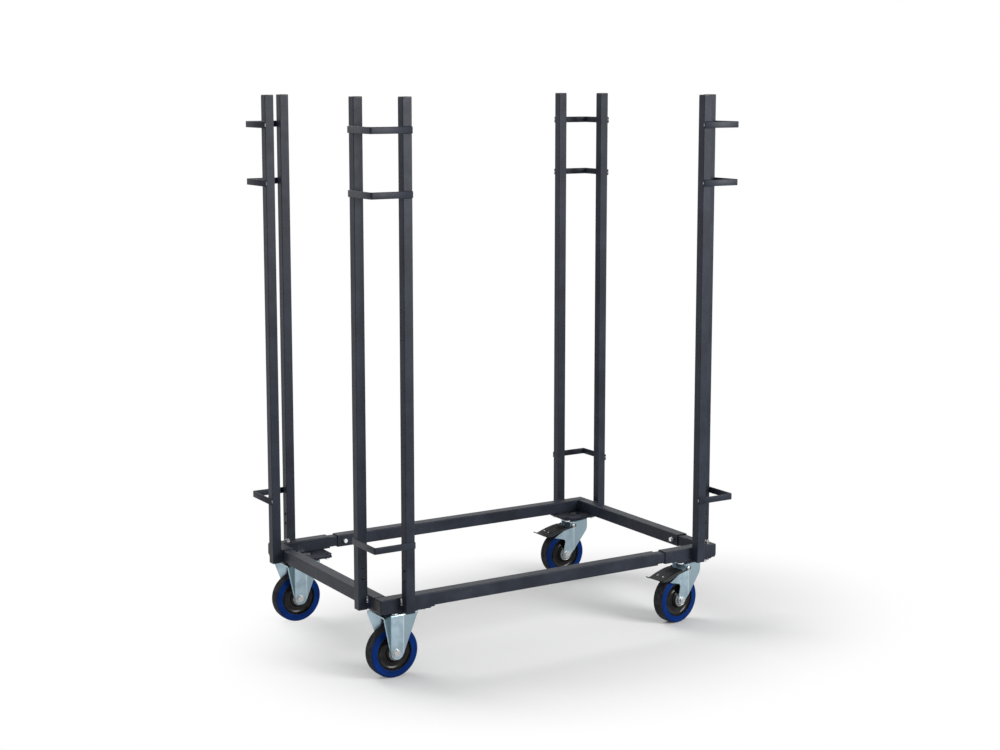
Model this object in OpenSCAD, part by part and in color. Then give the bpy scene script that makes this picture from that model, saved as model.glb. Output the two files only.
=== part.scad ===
// Banquet table trolley: an open, adjustable base frame on four swivel casters,
// with a pair of strapped square-tube uprights at each corner.
// Origin on the floor under the middle, +X along the long side, +Y to the back, +Z up.
// Front is -Y, left is -X. Lengths are in millimetres.

/* [Loading bay] */
// Clear length between the uprights of the two short sides
bay_length = 1250; // [1150:10:1600]
// Clear width between the uprights of the two long sides
bay_width = 790; // [700:10:1000]

/* [Base frame] */
// Side of the square base tube
rail_side = 40; // [38:1:46]
// Wall of the base tube
rail_wall = 3; // [2:0.5:4]
// Rounding of the base tube's long edges
rail_round = 3; // [1.5:0.5:4]
// Height of the base tube's underside above the floor
rail_bottom = 218; // [216:1:230]
// Length of the corner piece along the long side
long_stub = 208; // [200:1:260]
// Length of the corner piece along the short side
short_stub = 112; // [110:1:140]
// Inner tube showing between the two outer tubes of a long side
long_gap = 30; // [26:1:60]
// Inner tube showing between the two outer tubes of a short side
short_gap = 47; // [42:1:80]
// Inner tube held inside the long rail
long_grip = 260; // [220:5:400]
// Inner tube held inside the short rail
short_grip = 220; // [180:5:300]
// Inner tube welded inside the corner piece along the long side
long_root = 100; // [60:5:120]
// Inner tube welded inside the corner piece along the short side
short_root = 60; // [40:5:66]
// Wall of the inner tube
inner_wall = 3; // [2:0.5:4]
// Gap between inner and outer tube on each side
slide_play = 0.3; // [0.2:0.1:0.6]
// Thickness of the plate welded under each corner
corner_plate_thick = 4; // [3.5:0.5:6]
// Corner plate standing out past the caster's own plate
corner_plate_margin = 5; // [3:1:12]
// Distance from the base tubes' outer faces to the corner plate
corner_plate_recess = 3; // [2:1:8]
// Cut across the corner plate's free corner
corner_plate_cut = 25; // [10:1:40]

/* [Uprights] */
// Side of the square upright tube
post_side = 30; // [25:1:34]
// Wall of the upright tube
post_wall = 2; // [1.5:0.5:3]
// Rounding of the upright tube's long edges
post_round = 2; // [1:0.5:3]
// Height of the upright tube's upper end above the floor
post_top = 1719; // [1500:1:1900]
// Height of the seam between upright and socket above the floor
seam_height = 300; // [285:1:320]
// Height of the socket's lower end above the floor
socket_bottom = 214; // [210:1:216]
// Spigot standing up inside the upright
spigot_rise = 80; // [70:1:140]
// Wall of the spigot
spigot_wall = 2.5; // [2:0.5:4]
// Gap between spigot and upright on each side
spigot_play = 0.2; // [0.1:0.1:0.4]
// Distance from the bay's end to the uprights on the long sides
post_inset_long = 71.5; // [60:0.5:110]
// Distance from the bay's side to the uprights on the short sides
post_inset_short = 78; // [60:1:80]
// Height of the lower screw above the seam
screw_first = 11; // [9:1:20]
// Distance between the two screws of an upright
screw_pitch = 32; // [20:1:45]

/* [Straps] */
// Thickness of the flat-bar strap
strap_thick = 5; // [3:0.5:8]
// Height of the flat-bar strap
strap_height = 20; // [15:1:40]
// Inner radius of the strap's bend
strap_bend = 1; // [0.5:0.5:10]
// Distance from the upright's upper end down to the middle of the top strap
strap_top_drop = 90; // [60:1:140]
// Distance from the upright's upper end down to the middle of the second strap
strap_second_drop = 273; // [200:1:400]
// Middle height of the bottom strap above the floor
strap_bottom = 420; // [400:1:600]

/* [Caps] */
// Height of an upright's plastic cap
cap_height = 4; // [3:0.5:8]
// Radius of the cap's domed top
cap_dome = 45; // [40:1:120]
// Depth of the cap inside the upright
cap_depth = 14; // [8:1:25]
// Flange of the plug in a base tube's end
plug_flange = 3; // [2:0.5:5]
// Depth of the plug inside the base tube
plug_depth = 12; // [8:1:14]
// Wall of caps and plugs inside the tubes
cap_wall = 2; // [1.5:0.5:3]

/* [Fasteners] */
// Radius of the caster bolts
bolt_radius = 5; // [4:0.5:5]
// Radius over the corners of the caster bolt's head
bolt_head_radius = 9.8; // [8:0.1:10]
// Height of the caster bolt's head
bolt_head_height = 6.4; // [5:0.1:7]
// Height of the nut on the through bolt
nut_height = 8; // [5:0.5:10]
// Thread standing out above that nut
thread_end = 4; // [1:0.5:8]
// Radius of the upright's screws
screw_radius = 3; // [2:0.5:4]
// Radius of that screw's button head
screw_head_radius = 5.2; // [4.6:0.1:7]
// Height of that screw's head
screw_head_height = 3; // [2:0.1:4]
// Radius of the screws that clamp the inner tubes
clamp_radius = 4; // [3:0.5:5]
// Radius over the corners of the clamp screw's head and nut
clamp_head_radius = 7.5; // [6.5:0.1:9]
// Height of the clamp screw's head, and of its nut
clamp_head_height = 5.5; // [4:0.5:7]
// Distance from the outer tube's mouth to its clamp screw
clamp_setback = 25; // [15:1:60]
// Gap all round a bolt in its hole
bolt_play = 0.05; // [0.05:0.01:0.2]

/* [Casters] */
// Distance from the bay's left end to the swivel axis of the left casters
caster_inset_left = 113; // [105:0.5:120]
// Distance from the bay's right end to the swivel axis of the right casters
caster_inset_right = 75.5; // [74:0.5:90]
// Distance from the bay's side to the swivel axis
caster_inset_side = 63; // [60:0.5:70]
// Length of the caster's plate
plate_length = 135; // [130:1:140]
// Width of the caster's plate
plate_width = 110; // [104:1:120]
// Thickness of the caster's plate
plate_thick = 5; // [4:0.5:6]
// Rounding of the caster plate's corners
plate_round = 10; // [4:1:12]
// Distance between the caster bolts along the plate
bolt_pitch_long = 105; // [102:1:108]
// Distance between the caster bolts across the plate
bolt_pitch_wide = 80; // [78:1:84]
// Horizontal distance from swivel axis to axle on the plain casters
plain_trail = 43; // [38:1:46]
// Horizontal distance from swivel axis to axle on the braked casters
braked_trail = 50; // [44:1:52]
// Turn of the front right caster in degrees, seen from above
front_right_turn = 7; // [-45:1:45]
// Radius of the swivel's ball circle
ball_circle = 32; // [28:1:34]
// Radius of a swivel ball
ball_radius = 4.2; // [3.5:0.1:4.5]
// Number of swivel balls
ball_count = 16; // [10:1:18]
// Radius of the king pin
pin_radius = 8; // [6:0.5:9]
// Wall of the dust rim round the balls
rim_wall = 3; // [2:0.5:4]
// Radius of the fork's round crown
crown_radius = 47; // [46:0.5:48]
// Thickness of the fork's crown
crown_thick = 6; // [5:0.5:7]
// Thickness of the fork's legs
leg_thick = 4; // [3:0.5:4.5]
// Free width between the fork's legs
fork_gap = 55; // [53:0.5:56]
// Radius of the plain leg's round end
leg_end_radius = 21; // [19:0.5:22]
// Distance from the axle forward to the middle of that round end
leg_end_ahead = 4; // [2:0.5:5]
// Radius of the braked leg's round end at the axle
braked_end_radius = 15; // [14:0.5:17]
// Reach of the leg's upper end behind the swivel axis
leg_back = 80; // [70:1:84]
// Reach of the plain leg's upper end before the swivel axis
leg_front = 40; // [34:1:42]
// Reach of the braked leg's upper end before the swivel axis
braked_front = 46; // [38:1:47]
// Bend line of the leg's front flange, behind the swivel axis
leg_crease = 18; // [16:0.5:22]
// Inward bend of that flange in degrees
leg_bend = 12; // [4:1:12]
// Bend line of the plain leg's rear flange, behind the swivel axis
rear_crease = 61; // [61:0.5:64]
// Inward bend of that flange in degrees
rear_bend = 24; // [10:1:25]

/* [Wheels] */
// Diameter of the wheel over its tyre
wheel_diameter = 160; // [150:1:165]
// Width of the wheel at its tyre
wheel_width = 40; // [36:1:42]
// Radial thickness of the tyre
tyre_thick = 23; // [16:1:24]
// Rounding of the tyre's shoulders
tyre_round = 6; // [3:0.5:8]
// Width of the hub's boss
boss_width = 50; // [46:1:50]
// Radius of the hub's boss
boss_radius = 25; // [22:0.5:27]
// Radius of the hollow turned into each side of the hub
dish_radius = 15; // [11:0.5:15]
// Depth of that hollow below the rim's side
dish_depth = 10; // [5:0.5:13]
// Radius of the sleeve that the wheel turns on
sleeve_radius = 10; // [9:0.5:12]
// Radius of the axle bolt
axle_radius = 6; // [5:0.5:7]
// Radius over the corners of the axle's head and nut
axle_head_radius = 11; // [10:0.5:14]
// Height of the axle's head and nut
axle_head_height = 8; // [6:0.5:10]
// Radius of the guard washers beside the boss
guard_radius = 17; // [15:0.5:17]
// Running clearance of a shaft in its bore
running_play = 0.05; // [0.02:0.01:0.1]

/* [Brake] */
// Reach of the pedal's cover behind the swivel axis
pedal_reach = 150; // [140:1:165]
// Length of the toe plate behind the cover
toe_length = 20; // [12:1:30]
// Fall of the cover from its crest to the toe
pedal_fall = 18; // [12:1:24]
// Height of the crest above the swivel crown's underside
crest_rise = 1; // [0.5:0.5:3]
// Distance from the swivel axis to the crest
crest_back = 62; // [56:1:70]
// Wall of the pedal
pedal_wall = 3; // [2:0.5:4]
// Gap between the pedal's skirts and the fork
skirt_play = 0.5; // [0.3:0.1:1]
// Depth of the skirts at the toe
skirt_toe = 19; // [14:1:24]
// Distance from the swivel axis to the pedal's pivot
pivot_back = 23; // [20:1:26]
// Depth of the pivot below the crown's underside
pivot_drop = 10; // [9:0.5:11]
// Radius of the pivot pin
pivot_radius = 4; // [3:0.5:4]
// Travel of the pedal in degrees
pedal_travel = 10; // [4:1:12]
// Gap left between shoe and tyre when the brake is on
shoe_play = 1.8; // [1.6:0.1:2.5]
// Length of the brake shoe
shoe_length = 24; // [18:1:26]
// Width of the brake shoe
shoe_width = 30; // [20:1:36]

/* [Hidden] */
$fn = 48;
CORNERS = [
    ["front_left", -1, -1],
    ["back_left", -1, 1],
    ["front_right", 1, -1],
    ["back_right", 1, 1]
];
SHORT_CORNERS = [CORNERS[1], CORNERS[2]];
BRAKED_CORNERS = [CORNERS[2], CORNERS[3]];

coat = "#3d4249";
zinc = "#b4c0c6";
black = "#17181a";
blue = "#1d3f8f";
cut = 1;
thin_round = 0.5;

rail_top = rail_bottom + rail_side;
rail_middle = rail_bottom + rail_side / 2;
rail_hollow = rail_side - 2 * rail_wall;
inner_side = rail_hollow - 2 * slide_play;
long_rail_end = bay_length - long_stub - long_gap;
short_rail_end = bay_width - short_stub - short_gap;

post_hollow = post_side - 2 * post_wall;
spigot_side = post_hollow - 2 * spigot_play;
strap_offset = post_side + strap_thick;
strap_heights = [post_top - strap_top_drop, post_top - strap_second_drop, strap_bottom];
screw_heights = [seam_height + screw_first, seam_height + screw_first + screw_pitch];

plate_top = rail_bottom - corner_plate_thick;
plate_bottom = plate_top - plate_thick;
seat_gap = 0.3;
crown_top = plate_bottom - 2 * (ball_radius + seat_gap);
crown_bottom = crown_top - crown_thick;
wheel_radius = wheel_diameter / 2;
axle_height = wheel_radius;
rim_radius = wheel_radius - tyre_thick;
leg_outside = fork_gap / 2 + leg_thick;
pin_head_height = 4;
pin_head_lip = 5;
pin_head_radius = pin_radius + pin_head_lip;
pin_nut_height = 7;
pin_nut_radius = 13.5;
pin_hole_play = 4;
pin_hole_radius = pin_head_radius + pin_hole_play;
axle_thread_end = 2;
rim_recess = 1;
hex_key_share = 0.4;

skirt_inside = leg_outside + skirt_play;
skirt_outside = skirt_inside + pedal_wall;
pivot_height = crown_bottom - pivot_drop;
crest_height = crown_bottom + crest_rise;
toe_height = crest_height - pedal_fall;
toe_lip = 3;
skirt_front_back = 12;
skirt_front_rise = 2.5;
skirt_front_drop = 6;
skirt_slope = 22;
crown_play = 1.5;
pivot_head_height = 2.5;
pivot_head_lip = 2;
wing_from_toe = 26;
wing_drop = 31;
wing_depth = 6;
wing_root_back = 3;
wing_root_rise = 59;
wing_round = 9;
wing_play = 9;
shoulder_drop = 34;
edge_bite = 0.6;
pivot_margin = 9;
braked_leg_back = pivot_back + pivot_margin;

function caster_inset(side) = side < 0 ? caster_inset_left : caster_inset_right;
function has_brake(corner) = corner[1] > 0;
function trail(braked) = braked ? braked_trail : plain_trail;
function front_reach(braked) = braked ? braked_front : leg_front;
function bolt_spots(side) = [
    for (x = [-1, 1], y = [-1, 1])
        [caster_inset(side) + x * bolt_pitch_long / 2, caster_inset_side + y * bolt_pitch_wide / 2]
];
// Point where a line from an outside point touches a circle; turn is 1 or -1
function touch_point(outside, centre, radius, turn) =
    let (
        along = outside - centre,
        angle = atan2(along[1], along[0]) + turn * acos(radius / norm(along))
    )
    centre + radius * [cos(angle), sin(angle)];

module flip(on, direction) {
    if (on)
        mirror(direction) children();
    else
        children();
}

// Puts a piece drawn at a corner, with x and y pointing into the bay, at one of the four corners
module at_corner(corner) {
    translate([corner[1] * bay_length / 2, corner[2] * bay_width / 2, 0])
        flip(corner[1] > 0, [1, 0, 0])
            flip(corner[2] > 0, [0, 1, 0])
                children();
}

// Puts a piece drawn round a swivel axis at one of the four casters
module at_caster(corner) {
    translate([
        corner[1] * (bay_length / 2 - caster_inset(corner[1])),
        corner[2] * (bay_width / 2 - caster_inset_side),
        0
    ])
        children();
}

// Turns a caster's moving pieces about its swivel axis and puts them in place
module at_swivel(corner) {
    at_caster(corner)
        rotate([0, 0, corner == CORNERS[2] ? front_right_turn : 0])
            children();
}

// Both uprights of a corner, drawn with the face towards the corner at -x
module each_post() {
    translate([post_inset_long + post_side / 2, -post_side / 2, 0])
        children();
    translate([-post_side / 2, post_inset_short + post_side / 2, 0])
        mirror([1, -1, 0])
            children();
}

module rounded_rectangle(length, width, round) {
    square([length, width - 2 * round], center = true);
    square([length - 2 * round, width], center = true);
    for (x = [-1, 1], y = [-1, 1])
        translate([x * (length / 2 - round), y * (width / 2 - round)])
            circle(round);
}

module tube_section(side, wall, round) {
    difference() {
        rounded_rectangle(side, side, round);
        rounded_rectangle(side - 2 * wall, side - 2 * wall, max(round - wall, thin_round));
    }
}

module tube_along_x(start, end, across, side, wall, round) {
    translate([start, across, rail_middle])
        rotate([0, 90, 0])
            linear_extrude(end - start)
                tube_section(side, wall, round);
}

module tube_along_y(start, end, across, side, wall, round) {
    translate([across, start, rail_middle])
        rotate([-90, 0, 0])
            linear_extrude(end - start)
                tube_section(side, wall, round);
}

// Upright hole for the bolt that goes right through the base tube
module through_bolt_hole(side) {
    translate([bolt_spots(side)[0][0], bolt_spots(side)[0][1], rail_bottom - cut])
        cylinder(h = rail_side + 2 * cut, r = bolt_radius + bolt_play);
}

module long_rail(corner) {
    color(coat)
        at_corner(corner)
            difference() {
                tube_along_x(plug_flange, long_rail_end, rail_side / 2, rail_side, rail_wall, rail_round);
                translate([long_rail_end - clamp_setback, rail_side / 2, rail_middle])
                    rotate([-90, 0, 0])
                        cylinder(h = rail_side, r = clamp_radius + bolt_play);
            }
}

module short_rail(corner) {
    color(coat)
        at_corner(corner)
            difference() {
                tube_along_y(rail_side, short_rail_end, rail_side / 2, rail_side, rail_wall, rail_round);
                translate([rail_side / 2, short_rail_end - clamp_setback, rail_middle])
                    rotate([0, 90, 0])
                        cylinder(h = rail_side, r = clamp_radius + bolt_play);
            }
}

module base_corner(corner) {
    color(coat)
        at_corner(corner)
            difference() {
                union() {
                    tube_along_x(plug_flange, long_stub, rail_side / 2, rail_side, rail_wall, rail_round);
                    tube_along_y(
                        rail_side - rail_wall / 2, short_stub,
                        rail_side / 2, rail_side, rail_wall, rail_round
                    );
                }
                through_bolt_hole(corner[1]);
            }
}

module inner_tubes(corner) {
    color(coat)
        at_corner(corner) {
            tube_along_x(
                long_stub - long_root, long_stub + long_gap + long_grip,
                rail_side / 2, inner_side, inner_wall, rail_round
            );
            tube_along_y(
                short_stub - short_root, short_stub + short_gap + short_grip,
                rail_side / 2, inner_side, inner_wall, rail_round
            );
        }
}

module corner_plate(corner) {
    length = caster_inset(corner[1]) + plate_length / 2 + corner_plate_margin;
    width = caster_inset_side + plate_width / 2 + corner_plate_margin;
    color(coat)
        at_corner(corner)
            translate([0, 0, plate_top])
                linear_extrude(corner_plate_thick)
                    difference() {
                        polygon([
                            [corner_plate_recess, corner_plate_recess],
                            [length, corner_plate_recess],
                            [length, width - corner_plate_cut],
                            [length - corner_plate_cut, width],
                            [corner_plate_recess, width]
                        ]);
                        for (spot = bolt_spots(corner[1]))
                            translate(spot)
                                circle(bolt_radius + bolt_play);
                        translate([caster_inset(corner[1]), caster_inset_side])
                            circle(pin_hole_radius);
                    }
}

// Holes for the two screws in the face at -x
module screw_holes(radius) {
    for (height = screw_heights)
        translate([0, 0, height])
            rotate([0, -90, 0])
                cylinder(h = post_side, r = radius);
}

module post_sockets(corner) {
    color(coat)
        at_corner(corner)
            each_post()
                difference() {
                    union() {
                        translate([0, 0, socket_bottom])
                            linear_extrude(seam_height - socket_bottom)
                                rounded_rectangle(post_side, post_side, post_round);
                        translate([0, 0, seam_height - cut])
                            linear_extrude(spigot_rise + cut)
                                rounded_rectangle(spigot_side, spigot_side, thin_round);
                    }
                    translate([0, 0, socket_bottom - cut])
                        linear_extrude(seam_height - socket_bottom + spigot_rise + 2 * cut)
                            square(spigot_side - 2 * spigot_wall, center = true);
                    screw_holes(screw_radius + bolt_play);
                }
}

module posts(corner) {
    color(coat)
        at_corner(corner)
            each_post()
                difference() {
                    translate([0, 0, seam_height])
                        linear_extrude(post_top - seam_height)
                            tube_section(post_side, post_wall, post_round);
                    screw_holes(screw_radius + bolt_play);
                }
}

module strap_plan() {
    bend = strap_bend + strap_thick;
    translate([bend - strap_offset, -strap_offset])
        square([post_inset_long + post_side + strap_offset - bend, strap_thick]);
    translate([-strap_offset, bend - strap_offset])
        square([strap_thick, post_inset_short + post_side + strap_offset - bend]);
    translate([bend - strap_offset, bend - strap_offset])
        intersection() {
            difference() {
                circle(bend);
                circle(strap_bend);
            }
            translate([-bend, -bend])
                square(bend);
        }
}

module straps(corner) {
    color(coat)
        at_corner(corner)
            for (height = strap_heights)
                translate([0, 0, height - strap_height / 2])
                    linear_extrude(strap_height)
                        strap_plan();
}

module post_cap() {
    intersection() {
        translate([0, 0, post_top])
            linear_extrude(cap_height)
                rounded_rectangle(post_side, post_side, post_round);
        translate([0, 0, post_top + cap_height - cap_dome])
            sphere(cap_dome, $fn = 96);
    }
    translate([0, 0, post_top - cap_depth])
        linear_extrude(cap_depth)
            tube_section(post_hollow - 2 * spigot_play, cap_wall, thin_round);
}

module rail_plug() {
    flange_side = rail_side - rail_wall - slide_play;
    translate([0, rail_side / 2, rail_middle])
        rotate([0, 90, 0]) {
            linear_extrude(plug_flange)
                rounded_rectangle(flange_side, flange_side, rail_round);
            translate([0, 0, plug_flange])
                linear_extrude(plug_depth)
                    tube_section(rail_hollow - 2 * slide_play, cap_wall, thin_round);
        }
}

module end_caps(corner) {
    color(black)
        at_corner(corner) {
            each_post()
                post_cap();
            rail_plug();
        }
}

// Hexagon bolt with its head under the caster plate
module caster_bolt(end) {
    translate([0, 0, plate_bottom - bolt_head_height])
        cylinder(h = bolt_head_height, r = bolt_head_radius, $fn = 6);
    translate([0, 0, plate_bottom - cut])
        cylinder(h = end - plate_bottom + cut, r = bolt_radius);
}

module hex_nut(height, outside, hole) {
    difference() {
        cylinder(h = height, r = outside, $fn = 6);
        translate([0, 0, -cut])
            cylinder(h = height + 2 * cut, r = hole + bolt_play);
    }
}

// Button-head screw in the face at -x
module post_screw() {
    reach = post_wall + spigot_play + spigot_wall;
    socket_radius = screw_head_radius * hex_key_share;
    translate([-post_side / 2, 0, 0])
        rotate([0, -90, 0])
            difference() {
                union() {
                    cylinder(h = screw_head_height, r = screw_head_radius);
                    translate([0, 0, -reach])
                        cylinder(h = reach + cut, r = screw_radius);
                }
                translate([0, 0, screw_head_height / 2])
                    cylinder(h = screw_head_height, r = socket_radius, $fn = 6);
            }
}

// Clamp screw with a welded nut, pointing to -z, its nut seated at z = 0
module clamp_screw() {
    hex_nut(clamp_head_height, clamp_head_radius, clamp_radius);
    tip = rail_wall + slide_play - seat_gap / 2;
    translate([0, 0, -tip])
        cylinder(h = tip + clamp_head_height + cut, r = clamp_radius);
    translate([0, 0, clamp_head_height + seat_gap])
        cylinder(h = clamp_head_height, r = clamp_head_radius, $fn = 6);
}

module clamp_screws() {
    translate([long_rail_end - clamp_setback, rail_side, rail_middle])
        rotate([-90, 0, 0])
            clamp_screw();
    translate([rail_side, short_rail_end - clamp_setback, rail_middle])
        rotate([0, 90, 0])
            clamp_screw();
}

module fasteners(corner) {
    spots = bolt_spots(corner[1]);
    through = corner[1] != corner[2];
    color(zinc)
        at_corner(corner) {
            for (i = [0 : len(spots) - 1])
                translate(spots[i])
                    caster_bolt(through && i == 0 ? rail_top + nut_height + thread_end : rail_bottom - seat_gap);
            if (through)
                translate([spots[0][0], spots[0][1], rail_top])
                    hex_nut(nut_height, bolt_head_radius, bolt_radius);
            each_post()
                for (height = screw_heights)
                    translate([0, 0, height])
                        post_screw();
            if (!through)
                clamp_screws();
        }
}

module caster_plate(corner) {
    rim_inside = ball_circle + ball_radius + rim_wall;
    rim_height = plate_bottom - crown_top - crown_play;
    color(zinc)
        at_caster(corner)
            difference() {
                union() {
                    translate([0, 0, plate_bottom])
                        linear_extrude(plate_thick)
                            rounded_rectangle(plate_length, plate_width, plate_round);
                    translate([0, 0, plate_bottom - rim_height])
                        difference() {
                            cylinder(h = rim_height + cut, r = rim_inside + rim_wall);
                            translate([0, 0, -cut])
                                cylinder(h = rim_height + cut, r = rim_inside);
                        }
                }
                translate([0, 0, plate_bottom - cut])
                    cylinder(h = plate_thick + 2 * cut, r = pin_radius + running_play);
                for (x = [-1, 1], y = [-1, 1])
                    translate([x * bolt_pitch_long / 2, y * bolt_pitch_wide / 2, plate_bottom - cut])
                        cylinder(h = plate_thick + 2 * cut, r = bolt_radius + bolt_play);
            }
}

module swivel_bearing(corner) {
    color(zinc)
        at_caster(corner) {
            translate([0, 0, plate_top])
                cylinder(h = pin_head_height, r = pin_head_radius);
            translate([0, 0, crown_bottom - seat_gap])
                cylinder(h = plate_top - crown_bottom + seat_gap + cut, r = pin_radius);
            translate([0, 0, crown_bottom - seat_gap - pin_nut_height])
                cylinder(h = pin_nut_height, r = pin_nut_radius, $fn = 6);
            for (i = [0 : ball_count - 1])
                rotate([0, 0, i * 360 / ball_count])
                    translate([ball_circle, 0, plate_bottom - seat_gap - ball_radius])
                        sphere(ball_radius, $fn = 24);
        }
}

module across_fork(width) {
    translate([0, width / 2, 0])
        rotate([90, 0, 0])
            linear_extrude(width)
                children();
}

// Outline of a fork leg seen from the side, x along the frame and y up
module leg_outline(braked) {
    end_spot = [(braked ? 0 : leg_end_ahead) - trail(braked), axle_height];
    end_radius = braked ? braked_end_radius : leg_end_radius;
    front_top = [front_reach(braked), crown_bottom + cut];
    front_low = braked ? [front_reach(braked), crown_bottom - shoulder_drop] : front_top;
    back_top = [braked ? -braked_leg_back : -leg_back, crown_bottom + cut];
    translate(end_spot)
        circle(end_radius);
    polygon([
        back_top,
        touch_point(back_top, end_spot, end_radius - edge_bite, 1),
        end_spot,
        touch_point(front_low, end_spot, end_radius - edge_bite, -1),
        front_low,
        front_top
    ]);
}

// Side wing under the brake pedal, rounded into the leg
module wing_outline() {
    wing_tip = [wing_from_toe - pedal_reach, pivot_height - wing_drop];
    wing_root = [-braked_trail - wing_root_back, axle_height + wing_root_rise];
    polygon([
        wing_tip,
        wing_root,
        wing_root + [0, -wing_round],
        [-braked_trail, axle_height],
        [-pivot_back, crown_bottom],
        [-braked_leg_back, pivot_height + pivot_radius],
        [-crest_back, crest_height - pedal_wall - wing_play],
        wing_tip + [0, wing_depth]
    ]);
    translate(wing_root)
        difference() {
            translate([-wing_round, -wing_round])
                square(wing_round);
            translate([-wing_round, -wing_round])
                circle(wing_round);
        }
}

// Outer line of a leg in plan, from its rear flange to its front flange
function leg_line(braked) = [
    [-(braked ? pedal_reach : leg_back), (braked ? 0 : leg_back - rear_crease) * tan(rear_bend) - leg_outside],
    [-rear_crease, -leg_outside],
    [-leg_crease, -leg_outside],
    [front_reach(braked) + cut, (front_reach(braked) + cut + leg_crease) * tan(leg_bend) - leg_outside]
];
function reversed(line) = [for (i = [len(line) - 1 : -1 : 0]) line[i]];
function shifted(line, shift) = [for (point = line) point + [0, shift]];
function mirrored(line) = [for (point = line) [point[0], -point[1]]];

module fork_leg(braked) {
    line = leg_line(braked);
    difference() {
        intersection() {
            linear_extrude(crown_bottom + cut)
                polygon(concat(line, reversed(shifted(line, leg_thick))));
            across_fork(2 * leg_outside + 2 * cut) {
                leg_outline(braked);
                if (braked)
                    wing_outline();
            }
        }
        translate([-trail(braked), 0, axle_height])
            rotate([90, 0, 0])
                cylinder(h = 2 * leg_outside, r = axle_radius + bolt_play);
        if (braked)
            translate([-pivot_back, 0, pivot_height])
                rotate([90, 0, 0])
                    cylinder(h = 2 * leg_outside, r = pivot_radius + bolt_play);
    }
}

module fork(corner) {
    braked = has_brake(corner);
    line = leg_line(braked);
    color(zinc)
        at_swivel(corner)
            difference() {
                union() {
                    translate([0, 0, crown_bottom])
                        linear_extrude(crown_thick) {
                            circle(crown_radius);
                            if (!braked)
                                polygon(concat(line, reversed(mirrored(line))));
                        }
                    for (side = [0, 1])
                        mirror([0, side, 0])
                            fork_leg(braked);
                }
                translate([0, 0, crown_bottom - cut])
                    cylinder(h = crown_thick + 2 * cut, r = pin_radius + running_play);
            }
}

module axle(corner) {
    braked = has_brake(corner);
    end = leg_outside + axle_head_height;
    washer = (fork_gap - boss_width) / 2 - seat_gap;
    color(zinc)
        at_swivel(corner) {
            translate([-trail(braked), 0, axle_height])
                rotate([-90, 0, 0]) {
                    translate([0, 0, -leg_outside - axle_head_height])
                        cylinder(h = axle_head_height, r = axle_head_radius, $fn = 6);
                    translate([0, 0, -leg_outside - cut])
                        cylinder(h = leg_outside + end + cut + axle_thread_end, r = axle_radius);
                    translate([0, 0, leg_outside])
                        hex_nut(axle_head_height, axle_head_radius, axle_radius);
                    difference() {
                        union() {
                            cylinder(h = fork_gap, r = sleeve_radius, center = true);
                            for (side = [-1, 1])
                                translate([0, 0, side * (fork_gap - washer) / 2])
                                    cylinder(h = washer, r = guard_radius, center = true);
                        }
                        cylinder(h = fork_gap + 2 * cut, r = axle_radius + bolt_play, center = true);
                    }
                }
            if (braked)
                translate([-pivot_back, 0, pivot_height])
                    rotate([-90, 0, 0])
                        for (side = [-1, 1])
                            flip(side < 0, [0, 0, 1])
                                pivot_pin();
        }
}

// Headed pin through one leg and one skirt
module pivot_pin() {
    head = skirt_outside + seat_gap;
    translate([0, 0, fork_gap / 2])
        cylinder(h = head - fork_gap / 2 + cut, r = pivot_radius);
    translate([0, 0, head])
        cylinder(h = pivot_head_height, r = pivot_radius + pivot_head_lip);
}

module wheel(corner) {
    half_rim = wheel_width / 2 - rim_recess;
    dish_middle = (boss_radius + rim_radius) / 2;
    color(black)
        at_swivel(corner)
            translate([-trail(has_brake(corner)), 0, axle_height])
                rotate([90, 0, 0])
                    rotate_extrude()
                        difference() {
                            union() {
                                translate([sleeve_radius + running_play, -half_rim])
                                    square([rim_radius - sleeve_radius - running_play, 2 * half_rim]);
                                translate([sleeve_radius + running_play, -boss_width / 2])
                                    square([boss_radius - sleeve_radius - running_play, boss_width]);
                            }
                            for (side = [-1, 1])
                                translate([dish_middle, side * (half_rim - dish_depth + dish_radius)])
                                    circle(dish_radius);
                        }
}

module tyre(corner) {
    half = wheel_width / 2;
    inside = rim_radius + running_play;
    color(blue)
        at_swivel(corner)
            translate([-trail(has_brake(corner)), 0, axle_height])
                rotate([90, 0, 0])
                    rotate_extrude() {
                        translate([inside, -half])
                            square([wheel_radius - inside - tyre_round, wheel_width]);
                        translate([inside, -half + tyre_round])
                            square([wheel_radius - inside, wheel_width - 2 * tyre_round]);
                        for (side = [-1, 1])
                            translate([wheel_radius - tyre_round, side * (half - tyre_round)])
                                circle(tyre_round);
                    }
}

// Side view of the pedal's outside, x along the frame and y up
module pedal_outside() {
    polygon([
        [-skirt_front_back, pivot_height + skirt_front_rise],
        [-crown_radius - crown_play, crest_height],
        [-crest_back, crest_height],
        [-pedal_reach, toe_height],
        [-pedal_reach - toe_length, toe_height + toe_lip],
        [-pedal_reach - toe_length, toe_height + toe_lip - pedal_wall],
        [-pedal_reach, toe_height - 2 * pedal_wall],
        [skirt_slope - pedal_reach, toe_height - skirt_toe],
        [-skirt_front_back, pivot_height - skirt_front_drop]
    ]);
}

// Side view of the room under the pedal's cover
module pedal_room() {
    polygon([
        [0, crest_height - pedal_wall],
        [-crest_back, crest_height - pedal_wall],
        [-pedal_reach + pedal_wall, toe_height - pedal_wall],
        [-pedal_reach + pedal_wall, axle_height],
        [0, axle_height]
    ]);
}

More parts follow.
